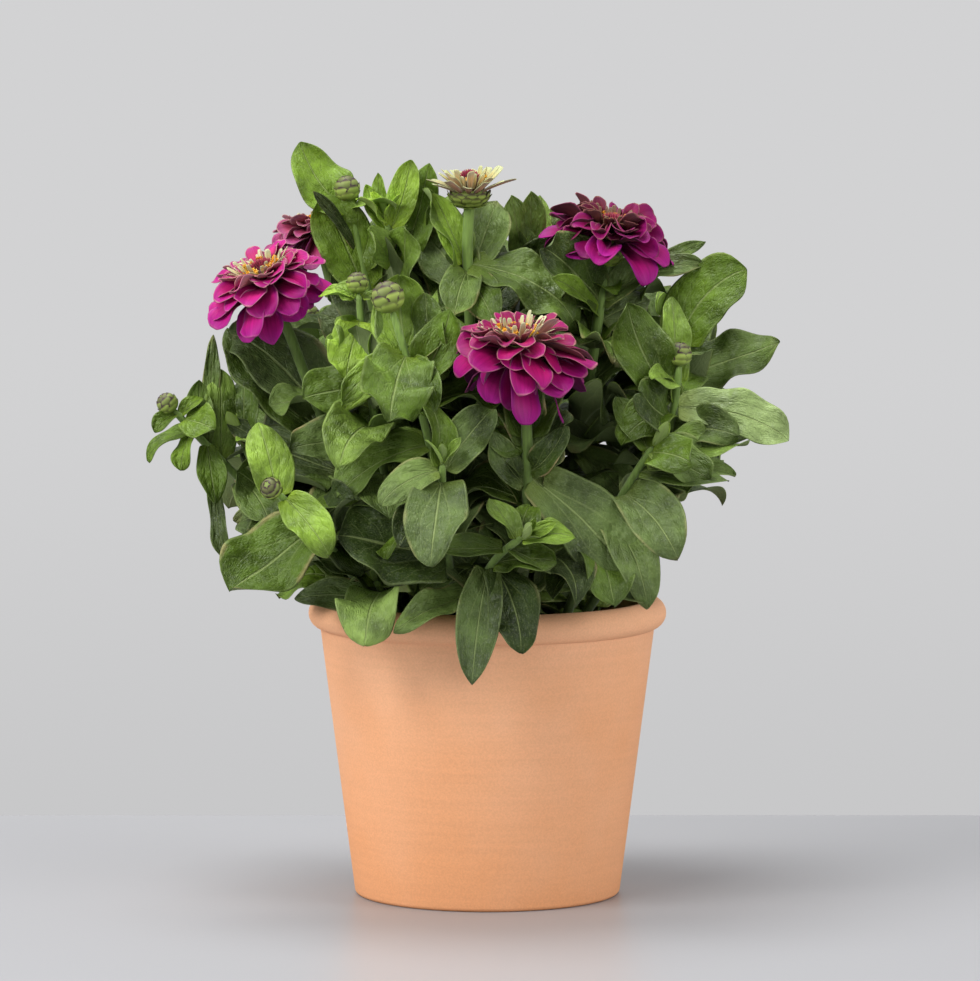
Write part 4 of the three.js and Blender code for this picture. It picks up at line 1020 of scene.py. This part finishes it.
class Crowd:
    """The room that leaves and petals take: which cells are full, or covered from the front and the side."""

    def __init__(self):
        self.taken = {}
        self.covered = set()
        self.kept_in_view = {}

    def cell(self, point):
        return tuple(math.floor(c / CROWD_CELL) for c in point)

    def seen_cells(self, point):
        """The cells that a point covers from the front, seen a little from above, and from the side."""
        low = point.z + VIEW_SLOPE * point.y
        front = ("front", math.floor(point.x / VIEW_CELL), math.floor(low / VIEW_CELL))
        return front, ("side", math.floor(point.y / VIEW_CELL), math.floor(point.z / VIEW_CELL))

    def join(self, points):
        for point in points:
            self.taken[self.cell(point)] = self.taken.get(self.cell(point), 0) + 1
            self.covered.update(self.seen_cells(point))

    def keep_in_view(self, points):
        """Marks what no filling leaf may hide from the front."""
        for point in points:
            front = self.seen_cells(point)[0]
            self.kept_in_view[front] = max(self.kept_in_view.get(front, FAR_IN_FRONT), point.y)

    def cost(self, points):
        """How badly a leaf fits: what it crosses and hides, less the gaps that it covers."""
        crossing = sum(min(2, self.taken.get(self.cell(point), 0)) for point in points)
        fresh = set()
        hidden = 0
        for point in points:
            front, side = self.seen_cells(point)
            fresh.update({front, side} - self.covered)
            hidden += point.y < self.kept_in_view.get(front, FAR_IN_FRONT) - 3
        return crossing + 4 * hidden - sum(0.6 if cell[0] == "front" else 0.25 for cell in fresh)


def edge_at(height):
    """How far left and right the foliage reaches at a height."""
    if height <= FOLIAGE_EDGE[0][0]:
        return FOLIAGE_EDGE[0][1:]
    for (low, *one), (high, *other) in zip(FOLIAGE_EDGE, FOLIAGE_EDGE[1:]):
        if height <= high:
            return mixed(one, other, (height - low) / (high - low))
    return FOLIAGE_TOP


def outside(point):
    """True where a filling leaf would show past the plant's outline, or run into the pot or the compost."""
    left, right = edge_at(point.z)
    wide = right if point.x > 0 else left
    deep = FOLIAGE_BACK if point.y > 0 else FOLIAGE_FRONT
    if (point.x / wide) ** 2 + (point.y / deep) ** 2 > 1:
        return True
    from_axis = math.hypot(point.x, point.y)
    in_wall = NECK_RADIUS - WALL - 3 < from_axis < NECK_RADIUS + ROLL_RADIUS + 2 and point.z < POT_HEIGHT + 2
    return in_wall or point.z < SOIL_LEVEL + 2


def filling_leaves(stem, order, crowd):
    """More pairs of leaves up a stem, each turned to the clearest side that it finds."""
    pairs = int((stem_point(stem, 1) - stem_point(stem, 0)).length / FILL_SPACING)
    found = []
    for pair, side in [(pair, side) for pair in range(pairs) for side in (0, 180)]:
        seed = FILLING_DRAWS + 200 * order + 12 * (2 * pair + side // 180)
        t = (pair + 0.6 + 0.15 * sway(seed)) / (pairs + 0.6)
        size = lerp(56, 42, t) * (1 + 0.14 * sway(seed + 1))
        blade = {
            "base": stem_point(stem, t), "bend": lerp(-105, -60, t) + 20 * sway(seed + 2), "length": size,
            "width": size * (0.56 + 0.05 * sway(seed + 3)), "twist": 26 * sway(seed + 4),
            "cup": 16 + 10 * sway(seed + 5), "wave": 0.08 + 0.03 * sway(seed + 6), "phase": draw(seed + 7),
            "seed": seed,
        }
        tries = [
            {**blade, "turn": 90 * (pair % 2) + 40 * order + side + aside, "rise": lerp(38, 66, t) + lift}
            for aside in (0, 22, -22, 44, -44, 66, -66, 88)
            for lift in (0, 20, -20)
        ]
        # It turns its upper side away from the plant's middle, and up
        flat = Vector((blade["base"].x, blade["base"].y, 0))
        out = (0.75 * flat.normalized() + Vector((0, 0, 0.65))).normalized()
        shares = (0.35, 0.85)
        tries = [{**one, "roll": share * facing_roll(one, out, 90)} for one in tries for share in shares]
        scores = []
        for i, one in enumerate(tries):
            points = leaf_points(one)
            scores.append((crowd.cost(points) + 3 * sum(outside(point) for point in points), i))
        score, best = min(scores)
        if score <= FILL_LIMIT:
            crowd.join(leaf_points(tries[best]))
            found.append(tries[best])
    return found


# Stalks and bracts

def grow_stalk(bm, path, radii):
    """A ribbed round stalk: a ring drawn out from place to place along its path, closed at both ends."""
    made = bmesh.ops.create_circle(bm, cap_ends=False, radius=1, segments=STALK_SIDES)["verts"]
    for i, vert in enumerate(made):
        vert.co *= 1 if i % 2 else 0.93
    rings = []
    side = Vector((1, 0, 0))
    for i, point in enumerate(path):
        direction = (path[min(i + 1, len(path) - 1)] - path[max(i - 1, 0)]).normalized()
        side = (side - direction * side.dot(direction)).normalized()
        basis = Matrix((side, direction.cross(side), direction)).transposed().to_4x4()
        rings.append(Matrix.Translation(point) @ basis @ Matrix.Diagonal((radii[i], radii[i], radii[i], 1)))
    bmesh.ops.transform(bm, matrix=rings[0], verts=made)
    edges = bm.edges[:]
    bmesh.ops.contextual_create(bm, geom=edges)
    for before, after in zip(rings, rings[1:]):
        drawn = bmesh.ops.extrude_edge_only(bm, edges=edges)["geom"]
        verts = [item for item in drawn if isinstance(item, bmesh.types.BMVert)]
        edges = [item for item in drawn if isinstance(item, bmesh.types.BMEdge)]
        edges = [edge for edge in edges if all(vert in verts for vert in edge.verts)]
        bmesh.ops.transform(bm, matrix=after @ before.inverted(), verts=verts)
    bmesh.ops.contextual_create(bm, geom=edges)


def scale_outline(along):
    """The half width of a bract: broad, with a round end."""
    return (0.75 + 0.25 * math.sin(math.pi * along)) * math.sqrt(max(0.05, 1 - along**4))


def wrap_bracts(name, stem, frame_of, body, rows, seed):
    """Makes the green body of a bud or a cup, with rows of overlapping bracts wrapped up round it."""
    (radius, half_height, middle), crown, flare = body
    size = stem["head"]["size"]
    sheets = Sheets()
    made = bmesh.ops.create_uvsphere(sheets.bm, u_segments=14, v_segments=9, radius=1)["verts"]
    for vert in made:
        vert.co.z *= crown if vert.co.z > 0 else 1
    shape = frame_of @ Matrix.Translation((0, 0, middle * size))
    shape = shape @ Matrix.Diagonal((radius * size, radius * size, half_height * size, 1))
    bmesh.ops.transform(sheets.bm, matrix=shape, verts=made)
    for vert in made:
        sheets.mark(vert, (0, 0.3, 0), (4, 4, 0), BRACT_TONE, margin_tone=BRACT_TONE)
    for level, (count, tip_angle) in enumerate(rows):
        browned = mixed(BRACT_TONE, BRACT_MARGIN, 0.7 * ease(104, 166, tip_angle))
        edge_tone = mixed(BRACT_TONE, BRACT_MARGIN, ease(40, 106, tip_angle))
        for i in range(count):
            own = seed + 30 * level + i
            bearing = 2 * math.pi * (i + 0.5 * (level % 2)) / count + 0.08 * sway(own)
            half = 1.5 * math.pi / count
            top = math.radians(tip_angle + 4 * sway(own + 7))
            tone = dimmed(browned, 1 + 0.14 * sway(own + 3))
            for vert, across, along in sheets.grid(4, 4):
                polar = lerp(top - math.radians(50), top, along)
                around = bearing + across * half * scale_outline(along)
                out = 1.01 - 0.01 * level + (0.08 + flare) * along - 0.03 * across * across
                flat = radius * out * math.sin(polar)
                high = middle - half_height * out * math.cos(polar)
                vert.co = frame_of @ (Vector((flat * math.cos(around), flat * math.sin(around), high)) * size)
                sheets.mark(vert, (across, along, draw(own)), (4, 4, 0), tone, margin_tone=edge_tone)
    place_piece(name, sheets.bm, [BRACT_FINISH], [stem["name"]], levels=1)


# Stems

def make_stem(stem, order, crowd, blades):
    """One stem: a piece of leaves, a piece of stalk, and a piece of bracts where it has a bud."""
    name, head = stem["name"], stem["head"]
    youth = stem.get("youth", YOUTH_ELSEWHERE)
    sheets = Sheets()
    for blade in blades:
        near_top = ease(0.75, 1, blade["at"])
        add_leaf(sheets, blade, blade.get("youth", lerp(0.45 * youth + 0.04, youth + 0.1, near_top)))
    for blade in filling_leaves(stem, order, crowd):
        add_leaf(sheets, blade, 0.08 + 0.4 * youth * draw(blade["seed"]))
    way = (stem_point(stem, 1) - stem_point(stem, 0.99)).normalized()
    turn = math.degrees(math.atan2(way.y, way.x))
    along = head_frame(Vector(stem["top"]), turn, math.degrees(math.asin(way.z)))
    if head["kind"] == "tip":
        add_tip(sheets, along, head["size"], youth, order)
    place_piece(f"{name}_leaves", sheets.bm, LEAF_FINISHES, [name], LEAF_THICKNESS, 1)
    make_stalk(stem, youth)
    if head["kind"] == "bud":
        wrap_bracts(f"{name}_bud", stem, along, BUD_BODY, BUD_ROWS, BUD_DRAWS + 200 * order)


def add_tip(sheets, along, size, youth, order):
    """A growing tip: three pairs of small leaves still folded together."""
    for pair, (length, width, rise) in enumerate(TIP_PAIRS):
        for side in (0, 180):
            seed = TIP_DRAWS + 40 * order + 6 * pair + side // 60
            blade = {
                "base": Vector((0, 0, 0)), "inset": 0.6, "turn": 90 * pair + side + 12 * sway(seed),
                "rise": rise + 6 * sway(seed + 1), "bend": 14, "length": length * size, "width": width * size,
                "cup": 34, "wave": 0.03, "phase": draw(seed), "seed": seed,
            }
            before = set(sheets.bm.verts)
            add_leaf(sheets, blade, youth + 0.3, 2, 5)
            new = [vert for vert in sheets.bm.verts if vert not in before]
            bmesh.ops.transform(sheets.bm, matrix=along, verts=new)


def make_stalk(stem, youth):
    """The stalk of a stem, from inside the compost to its head."""
    name = stem["name"]
    bm = bmesh.new()
    tone_layer = bm.verts.layers.float_color.new("tone")
    shares = [i / (STALK_STEPS - 1) for i in range(STALK_STEPS)]
    foot = Vector((*stem["root"], SOIL_LEVEL - ROOT_DEPTH))
    path = [foot] + [stem_point(stem, t) for t in shares]
    flowering = stem["head"]["kind"] in FLOWERING
    top_radius = STALK_TOP_RADIUS * (1.25 if flowering else 0.85)
    radii = [STALK_FOOT_RADIUS] + [lerp(STALK_FOOT_RADIUS, top_radius, math.sqrt(t)) for t in shares]
    if flowering:
        path[-1] = bloom_frame(stem) @ Vector((0, 0, -5.5))
        path.append(bloom_frame(stem) @ Vector((0, 0, -1)))
        radii.append(top_radius * 1.2)
    grow_stalk(bm, path, radii)
    bmesh.ops.recalc_face_normals(bm, faces=bm.faces)
    # Each stalk is painted darker down towards the compost, as shade under the leaves; its upper part is
    # greener the younger the stem.
    low, high = linear("#3c4c20"), blended("#5e7630", "#84a44a", youth)
    for vert in bm.verts:
        vert[tone_layer] = mixed(low, high, ease(SOIL_LEVEL, stem["top"][2], vert.co.z))
    place_piece(f"{name}_stalk", bm, [STALK_FINISH], [name], levels=1)


# Blooms

def petal_tones(tints, share):
    """The face, back and margin colours of a petal, by how far in its ring lies."""
    outer, middle, inner, back, inner_back, margin, *faded = tints
    if share > STRAP_SHARE and faded:
        return linear(faded[0]), linear(faded[0]), linear(FADED_MARGIN)
    if share > STRAP_SHARE:
        return tuple(linear(code) for code in STRAP_TONES)
    face = blended(outer, middle, share * 2) if share < 0.5 else blended(middle, inner, (share - 0.5) * 3)
    return face, blended(back, inner_back, share / STRAP_SHARE), linear(margin)


def add_petals(sheets, frame_of, rings, size, order, tints, habit):
    """Adds a bloom's ray petals, ring by ring from the outside in."""
    mess = habit.get("mess", 1)
    for ring, (count, radius, height, length, width, rise, bend, cup) in enumerate(rings):
        share = ring / (len(rings) - 1)
        face, back, margin = petal_tones(tints, share)
        strap = width < STRAP_WIDTH
        for i in range(count):
            seed = PETAL_DRAWS + 300 * order + 40 * ring + 3 * i
            turn = (i + 0.5 * (ring % 2)) * 360 / count + 9 * sway(seed + 1)
            stretch = habit.get("length", 1)
            if "more" in habit:
                off_longest = math.radians(turn + habit["bearing"] - habit["longest"])
                stretch += habit["more"] * math.cos(off_longest)
            hanging = 0
            for way, wide, much in habit.get("hang", []):
                off = abs((turn + habit["bearing"] - way + 180) % 360 - 180)
                hanging += much * max(0, 0.75 - share) * (1 - ease(0.5 * wide, wide, off))
            blade = {
                "base": Vector((0, 0, size * height)), "inset": size * radius * 0.8, "turn": turn,
                "rise": rise + habit.get("lift", 0) * (1 - share) - hanging + 12 * mess * sway(seed + 2),
                "bend": bend + 22 * mess * sway(seed + 3),
                "length": size * stretch * length * (1 + 0.16 * sway(seed + 4)),
                "width": size * width * (1 + 0.16 * sway(seed + 5)), "roll": 26 * mess * sway(seed + 6),
                "twist": 24 * mess * sway(seed + 7), "cup": cup + habit.get("cup", 0) + 16 * sway(seed + 8),
                "wave": 0.07, "waves": 1, "phase": draw(seed + 9),
                "frill": 0.05 if strap else 0.09, "frills": 1.8,
                "curl": habit.get("curl", 0) * max(0, 0.8 - share) * 0.06 * sway(seed + 12),
            }
            shade = 1 + 0.14 * sway(seed + 10)
            tones = dimmed(face, shade), dimmed(back, shade), margin
            rim = lerp(0.02, 0.85, share) if not strap else 0.3
            outline = strap_outline if strap else petal_outline
            for vert, across, along in sheets.grid(*((2, 4) if strap else (4, 6))):
                vert.co = frame_of @ blade_point(blade, along, across, outline)
                sheets.mark(vert, (across, along, draw(seed + 11)), (width, length, rim), *tones)


def add_star(bm, tone_layer, frame_of, radius, height, tone):
    """One disc floret: a small tube that opens in five pointed lobes."""
    rim = bmesh.ops.create_circle(bm, cap_ends=True, radius=1, segments=10)["verts"]
    for i, vert in enumerate(rim):
        vert.co *= radius * (1 if i % 2 == 0 else 0.5)
        vert.co.z = height + (0.3 * radius if i % 2 == 0 else 0)
    faces = list({face for vert in rim for face in vert.link_faces})
    bmesh.ops.inset_region(bm, faces=faces, thickness=0.28 * radius, depth=0)
    middle = [vert for face in faces if face.is_valid for vert in face.verts]
    bmesh.ops.translate(bm, vec=(0, 0, -0.5 * radius), verts=list(set(middle)))
    foot = bmesh.ops.create_cone(
        bm, cap_ends=False, segments=5, radius1=0.22 * radius, radius2=0.55 * radius, depth=height,
    )["verts"]
    bmesh.ops.translate(bm, vec=(0, 0, height / 2), verts=foot)
    made = list(set(rim) | set(middle) | set(foot))
    bmesh.ops.transform(bm, matrix=frame_of, verts=made)
    for vert in made:
        vert[tone_layer] = tone


def leaning(bearing, lean, out, high):
    """The frame of a floret that stands out from a bloom's middle at a bearing and leans that way."""
    seat = Matrix.Translation((out * math.cos(bearing), out * math.sin(bearing), high))
    return seat @ Matrix.Rotation(bearing, 4, "Z") @ Matrix.Rotation(lean, 4, "Y")


def make_disc(name, frame_of, size, base, radius, height, stars):
    """The middle of a bloom: a crimson button of pointed chaff with yellow star florets round it."""
    bm = bmesh.new()
    tone_layer = bm.verts.layers.float_color.new("tone")
    dome = bmesh.ops.create_uvsphere(bm, u_segments=16, v_segments=8, radius=1)["verts"]
    seat = Matrix.Translation((0, 0, base * size))
    shape = seat @ Matrix.Diagonal((radius * size, radius * size, height * size, 1))
    bmesh.ops.transform(bm, matrix=frame_of @ shape, verts=dome)
    for vert in dome:
        vert[tone_layer] = linear("#4d1626")
    grown = frame_of @ Matrix.Scale(size, 4)
    # The chaff grows in a spiral from the middle out
    golden = math.radians(137.508)
    for i in range(CHAFF):
        share = math.sqrt((i + 0.5) / CHAFF) * 0.82
        point = bmesh.ops.create_cone(
            bm, cap_ends=True, segments=4, radius1=0.5, radius2=0.08, depth=2.4,
        )["verts"]
        high = base + height * math.sqrt(1 - share * share) + 0.5
        seat = leaning(i * golden, share * 0.7, radius * share, high)
        bmesh.ops.transform(bm, matrix=grown @ seat, verts=point)
        tone = blended("#6a1028", "#a02444", draw(i + 50))
        for vert in point:
            vert[tone_layer] = tone
    for i in range(stars):
        bearing = 2 * math.pi * (i + 0.3 * sway(i + 80)) / stars
        out = radius * (0.98 + 0.18 * sway(i + 90))
        seat = leaning(bearing, 0.5 + 0.3 * sway(i + 70), out, base + 0.2 * height)
        tone = blended("#e09a24", "#f0c64e", draw(i + 60))
        add_star(bm, tone_layer, grown @ seat, 1.5, 3.4 + sway(i + 75), tone)
    place_piece(f"{name}_florets", bm, [FLORET_FINISH], [f"{name}_disc"])


def make_bloom(stem, order):
    """A bloom on its stem: ray petals, the disc in their middle, and the cup of bracts under them."""
    head = stem["head"]
    name = stem["name"].replace("stem", "bloom")
    young = head["kind"] == "young"
    frame_of = bloom_frame(stem)
    petals = Sheets()
    habit = {"bearing": head["turn"] + 90, **HABITS.get(name, {})}
    rings = YOUNG_RINGS if young else BLOOM_RINGS
    add_petals(petals, frame_of, rings, head["size"], order, TINTS[name], habit)
    place_piece(f"{name}_rays", petals.bm, PETAL_FINISHES, [f"{name}_petals"], PETAL_THICKNESS, 1)
    make_disc(name, frame_of, head["size"], *(YOUNG_DISC if young else DISC))
    body = YOUNG_CUP_BODY if young else CUP_BODY
    wrap_bracts(f"{name}_cup", stem, frame_of, body, CUP_ROWS, CUP_DRAWS + 200 * order)


def bloom_frame(stem):
    """The frame of a stem's bloom, seated above the end of its stalk."""
    head = stem["head"]
    centre = Vector(stem["top"]) + Vector(HEAD_SHIFTS.get(stem["name"], (0, 0, 0)))
    seat = Matrix.Translation((0, 0, HEAD_SEAT * head["size"]))
    return head_frame(centre, head["turn"], head["rise"]) @ seat


# The pot and its compost

def spun(bm, profile, steps):
    """Spins a profile of (radius, height) points once round the Z axis."""
    verts = [bm.verts.new((radius, 0, height)) for radius, height in profile]
    edges = [bm.edges.new(pair) for pair in zip(verts, verts[1:])]
    bmesh.ops.spin(
        bm, geom=verts + edges, cent=(0, 0, 0), axis=(0, 0, 1), angle=2 * math.pi, steps=steps,
        use_merge=True,
    )
    bmesh.ops.remove_doubles(bm, verts=bm.verts, dist=0.01)
    bmesh.ops.recalc_face_normals(bm, faces=bm.faces)


def arc(middle, radius, start, end, steps):
    """Points along an arc, its angles in degrees."""
    angles = [math.radians(lerp(start, end, i / steps)) for i in range(steps + 1)]
    return [(middle[0] + radius * math.cos(a), middle[1] + radius * math.sin(a)) for a in angles]


def straight(start, end):
    """Points down a straight wall."""
    shares = [i / WALL_STEPS for i in range(WALL_STEPS + 1)]
    return [(lerp(start[0], end[0], share), lerp(start[1], end[1], share)) for share in shares]


def make_pot():
    """The flower pot: a tapered wall, a rolled rim, a rounded foot and three drain holes."""
    bottom_inside = FOOT_RADIUS - WALL
    profile = (
        [(0, 0.6), (FOOT_RADIUS - 9, 0.6), (FOOT_RADIUS - 6, 0)]
        + arc((FOOT_RADIUS - FOOT_ROUND, FOOT_ROUND), FOOT_ROUND, -90, -5, 5)
        + straight((FOOT_RADIUS, FOOT_ROUND), (NECK_RADIUS + WALL_SWELL, NECK_HEIGHT - 0.4))[1:]
        + arc((NECK_RADIUS, POT_HEIGHT - ROLL_RADIUS), ROLL_RADIUS, -77, 118, 18)
        + [(NECK_RADIUS - WALL + 1.2, POT_HEIGHT - 2.2)]
        + straight((NECK_RADIUS - WALL, NECK_HEIGHT), (bottom_inside, FLOOR + FLOOR_ROUND))
        + arc((bottom_inside - FLOOR_ROUND, FLOOR + FLOOR_ROUND), FLOOR_ROUND, 0, -90, 4)[1:]
        + [(0, FLOOR)]
    )
    bm = bmesh.new()
    spun(bm, profile, POT_SIDES)
    pot = place_piece("flower_pot", bm, [terracotta_finish()], ["pot"])
    drill = bmesh.new()
    for i in range(DRAINS):
        hole = bmesh.ops.create_cone(
            drill, cap_ends=True, segments=24, radius1=DRAIN_RADIUS, radius2=DRAIN_RADIUS, depth=3 * FLOOR,
        )["verts"]
        bmesh.ops.translate(drill, vec=(0, DRAIN_CIRCLE_RADIUS, 0), verts=hole)
        bmesh.ops.transform(drill, matrix=Matrix.Rotation(2 * math.pi * i / DRAINS, 4, "Z"), verts=hole)
    cutter = put_mesh("drain_drill", drill)
    cut = pot.modifiers.new("drains", "BOOLEAN")
    cut.object = cutter
    cut.operation = "DIFFERENCE"
    cut.solver = "EXACT"
    bpy.context.view_layer.update()
    drained = bpy.data.meshes.new_from_object(pot.evaluated_get(bpy.context.evaluated_depsgraph_get()))
    pot.modifiers.clear()
    pot.data = drained
    drained.set_sharp_from_angle(angle=math.radians(40))
    bpy.data.objects.remove(cutter)


def make_compost():
    """The compost: a crumbly bed that fills the pot under its rim, with loose crumbs on it."""
    bm = bmesh.new()
    slope = (NECK_RADIUS - FOOT_RADIUS) / (NECK_HEIGHT - FLOOR - FLOOR_ROUND)
    edge = FOOT_RADIUS - WALL + slope * (SOIL_LEVEL - FLOOR - FLOOR_ROUND) - 0.4
    under = [(0, SOIL_LEVEL - SOIL_DEPTH), (edge - slope * SOIL_DEPTH, SOIL_LEVEL - SOIL_DEPTH)]
    spun(bm, under + [(edge * (1 - i / SOIL_RINGS), SOIL_LEVEL) for i in range(SOIL_RINGS + 1)], SOIL_SIDES)
    for i, vert in enumerate(bm.verts):
        if vert.co.z > SOIL_LEVEL - 1:
            broad = math.sin(0.31 * vert.co.x + 1.3) * math.cos(0.27 * vert.co.y - 0.4)
            vert.co.z += 1.2 * broad - 1.2 + 0.8 * sway(i)
    finish = compost_finish()
    place_piece("compost_bed", bm, [finish], ["soil"])
    crumbs = bmesh.new()
    for i in range(CRUMBS):
        made = bmesh.ops.create_icosphere(crumbs, subdivisions=1, radius=1)["verts"]
        for k, vert in enumerate(made):
            vert.co *= 1 + 0.25 * sway(31 * i + k)
        reach = (edge - 3) * math.sqrt(draw(4 * i + 1))
        bearing = 2 * math.pi * draw(4 * i + 2)
        size = lerp(0.8, 2.4, draw(4 * i + 3) ** 2)
        seat = Matrix.Translation((reach * math.cos(bearing), reach * math.sin(bearing), SOIL_LEVEL - 0.6))
        shape = seat @ Matrix.Rotation(i, 4, "Z") @ Matrix.Diagonal((size * 1.3, size, size * 0.7, 1))
        bmesh.ops.transform(crumbs, matrix=shape, verts=made)
    place_piece("compost_crumbs", crumbs, [finish], ["soil"])


def node_tree_of(name):
    """The mesh of a frame node as a tree that finds the nearest point on it."""
    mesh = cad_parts[name].data
    faces = [face.vertices[:] for face in mesh.polygons]
    return BVHTree.FromPolygons([vert.co[:] for vert in mesh.vertices], faces)


def keep_head_clear(stem, crowd):
    """Keeps the view of a bud, or the room and the view of a bloom, and the view of the stalk under either.
    """
    crowd.keep_in_view([stem_point(stem, 0.8 + 0.02 * i) for i in range(11)])
    if stem["head"]["kind"] == "bud":
        top = stem_point(stem, 1)
        crowd.keep_in_view([top + Vector((across, 0, up)) for across in (-5, 0, 5) for up in (-1, 4, 9)])
        return
    frame_of = bloom_frame(stem)
    for reach in (8, 14, 20, 26):
        for bearing in range(0, 360, 15):
            forward = heading(bearing)[0]
            for height in (-6, 0, 6):
                place = frame_of @ (forward * reach + Vector((0, 0, height)))
                crowd.join([place] * 2)
                crowd.keep_in_view([place])


def make_plant():
    """Every stem, then every bloom."""
    crowd = Crowd()
    blades = []
    for order, stem in enumerate(STEMS):
        tree = node_tree_of(stem["name"])
        framed = [as_framed(blade, tree) for blade in stem_leaves(stem, order)]
        blades.append(framed + added_leaves(stem, order))
    for order, stem in enumerate(STEMS):
        for blade in blades[order]:
            crowd.join(leaf_points(blade))
            if blade["seed"] >= ADDED_DRAWS:
                crowd.keep_in_view(leaf_points(blade))
        if stem["head"]["kind"] != "tip":
            keep_head_clear(stem, crowd)
    for order, stem in enumerate(STEMS):
        make_stem(stem, order, crowd, blades[order])
        if stem["head"]["kind"] in FLOWERING:
            make_bloom(stem, order)


# The stage

def make_camera():
    """The camera, at the photograph's viewing angle."""
    data = bpy.data.cameras.new("camera")
    data.lens = SENSOR * FOCAL_PIXELS / PICTURE_WIDTH
    data.sensor_width = SENSOR
    data.clip_end = 50
    camera = put("camera", data)
    camera.location = CAMERA_PLACE
    look = Vector(CAMERA_TARGET) - Vector(CAMERA_PLACE)
    camera.rotation_euler = look.to_track_quat("-Z", "Y").to_euler()
    bpy.context.scene.camera = camera


def make_table():
    """A pale board that the pot stands on."""
    bm = bmesh.new()
    bmesh.ops.create_cube(bm, size=1)
    bmesh.ops.scale(bm, vec=TABLE_SIZE, verts=bm.verts)
    bmesh.ops.translate(bm, vec=(0, TABLE_BACK - TABLE_SIZE[1] / 2, -TABLE_SIZE[2] / 2), verts=bm.verts)
    table = put_mesh("table", bm)
    table.data.materials.append(table_finish())


def make_light():
    """Soft studio light: a pale room that is brighter above, large softboxes, and a pale grey backdrop."""
    world = bpy.data.worlds.new("pale_room")
    world.use_nodes = True
    bpy.context.scene.world = world
    world.node_tree.nodes.clear()
    add = partial(add_node, world.node_tree)
    high = add("SeparateXYZ", {0: add("TexCoord", out="Generated")}, out=None).outputs[2]
    # The backdrop is painted a little darker low down, as shade on the wall near the board.
    climb = add("MapRange", {0: high, 1: -0.16, 2: -0.06}, **EASED)
    wall = add("Mix", {0: climb, 6: linear("#c7c7c8"), 7: linear("#d2d2d3")}, **MIXED)
    backdrop = add("Background", {"Color": wall, "Strength": 1.0})
    upward = add("MapRange", {0: high, 1: -0.2, 2: 1.0, 3: ROOM_LOW, 4: ROOM_HIGH})
    room = add("Background", {"Color": linear("#f4f5f8"), "Strength": upward})
    seen = add("LightPath", out="Is Camera Ray")
    add("OutputWorld", {"Surface": add("MixShader", {0: seen, 1: room, 2: backdrop})}, out=None)
    for name, place, size, power in SOFTBOXES:
        data = bpy.data.lights.new(name, "AREA")
        data.shape = "DISK"
        data.size = size
        data.energy = power
        lamp = put(name, data)
        lamp.location = place
        lamp.rotation_euler = (LIT_POINT - Vector(place)).to_track_quat("-Z", "Y").to_euler()


bpy.context.scene.view_settings.view_transform = "Standard"
make_camera()
make_light()
make_table()
make_pot()
make_compost()
make_plant()
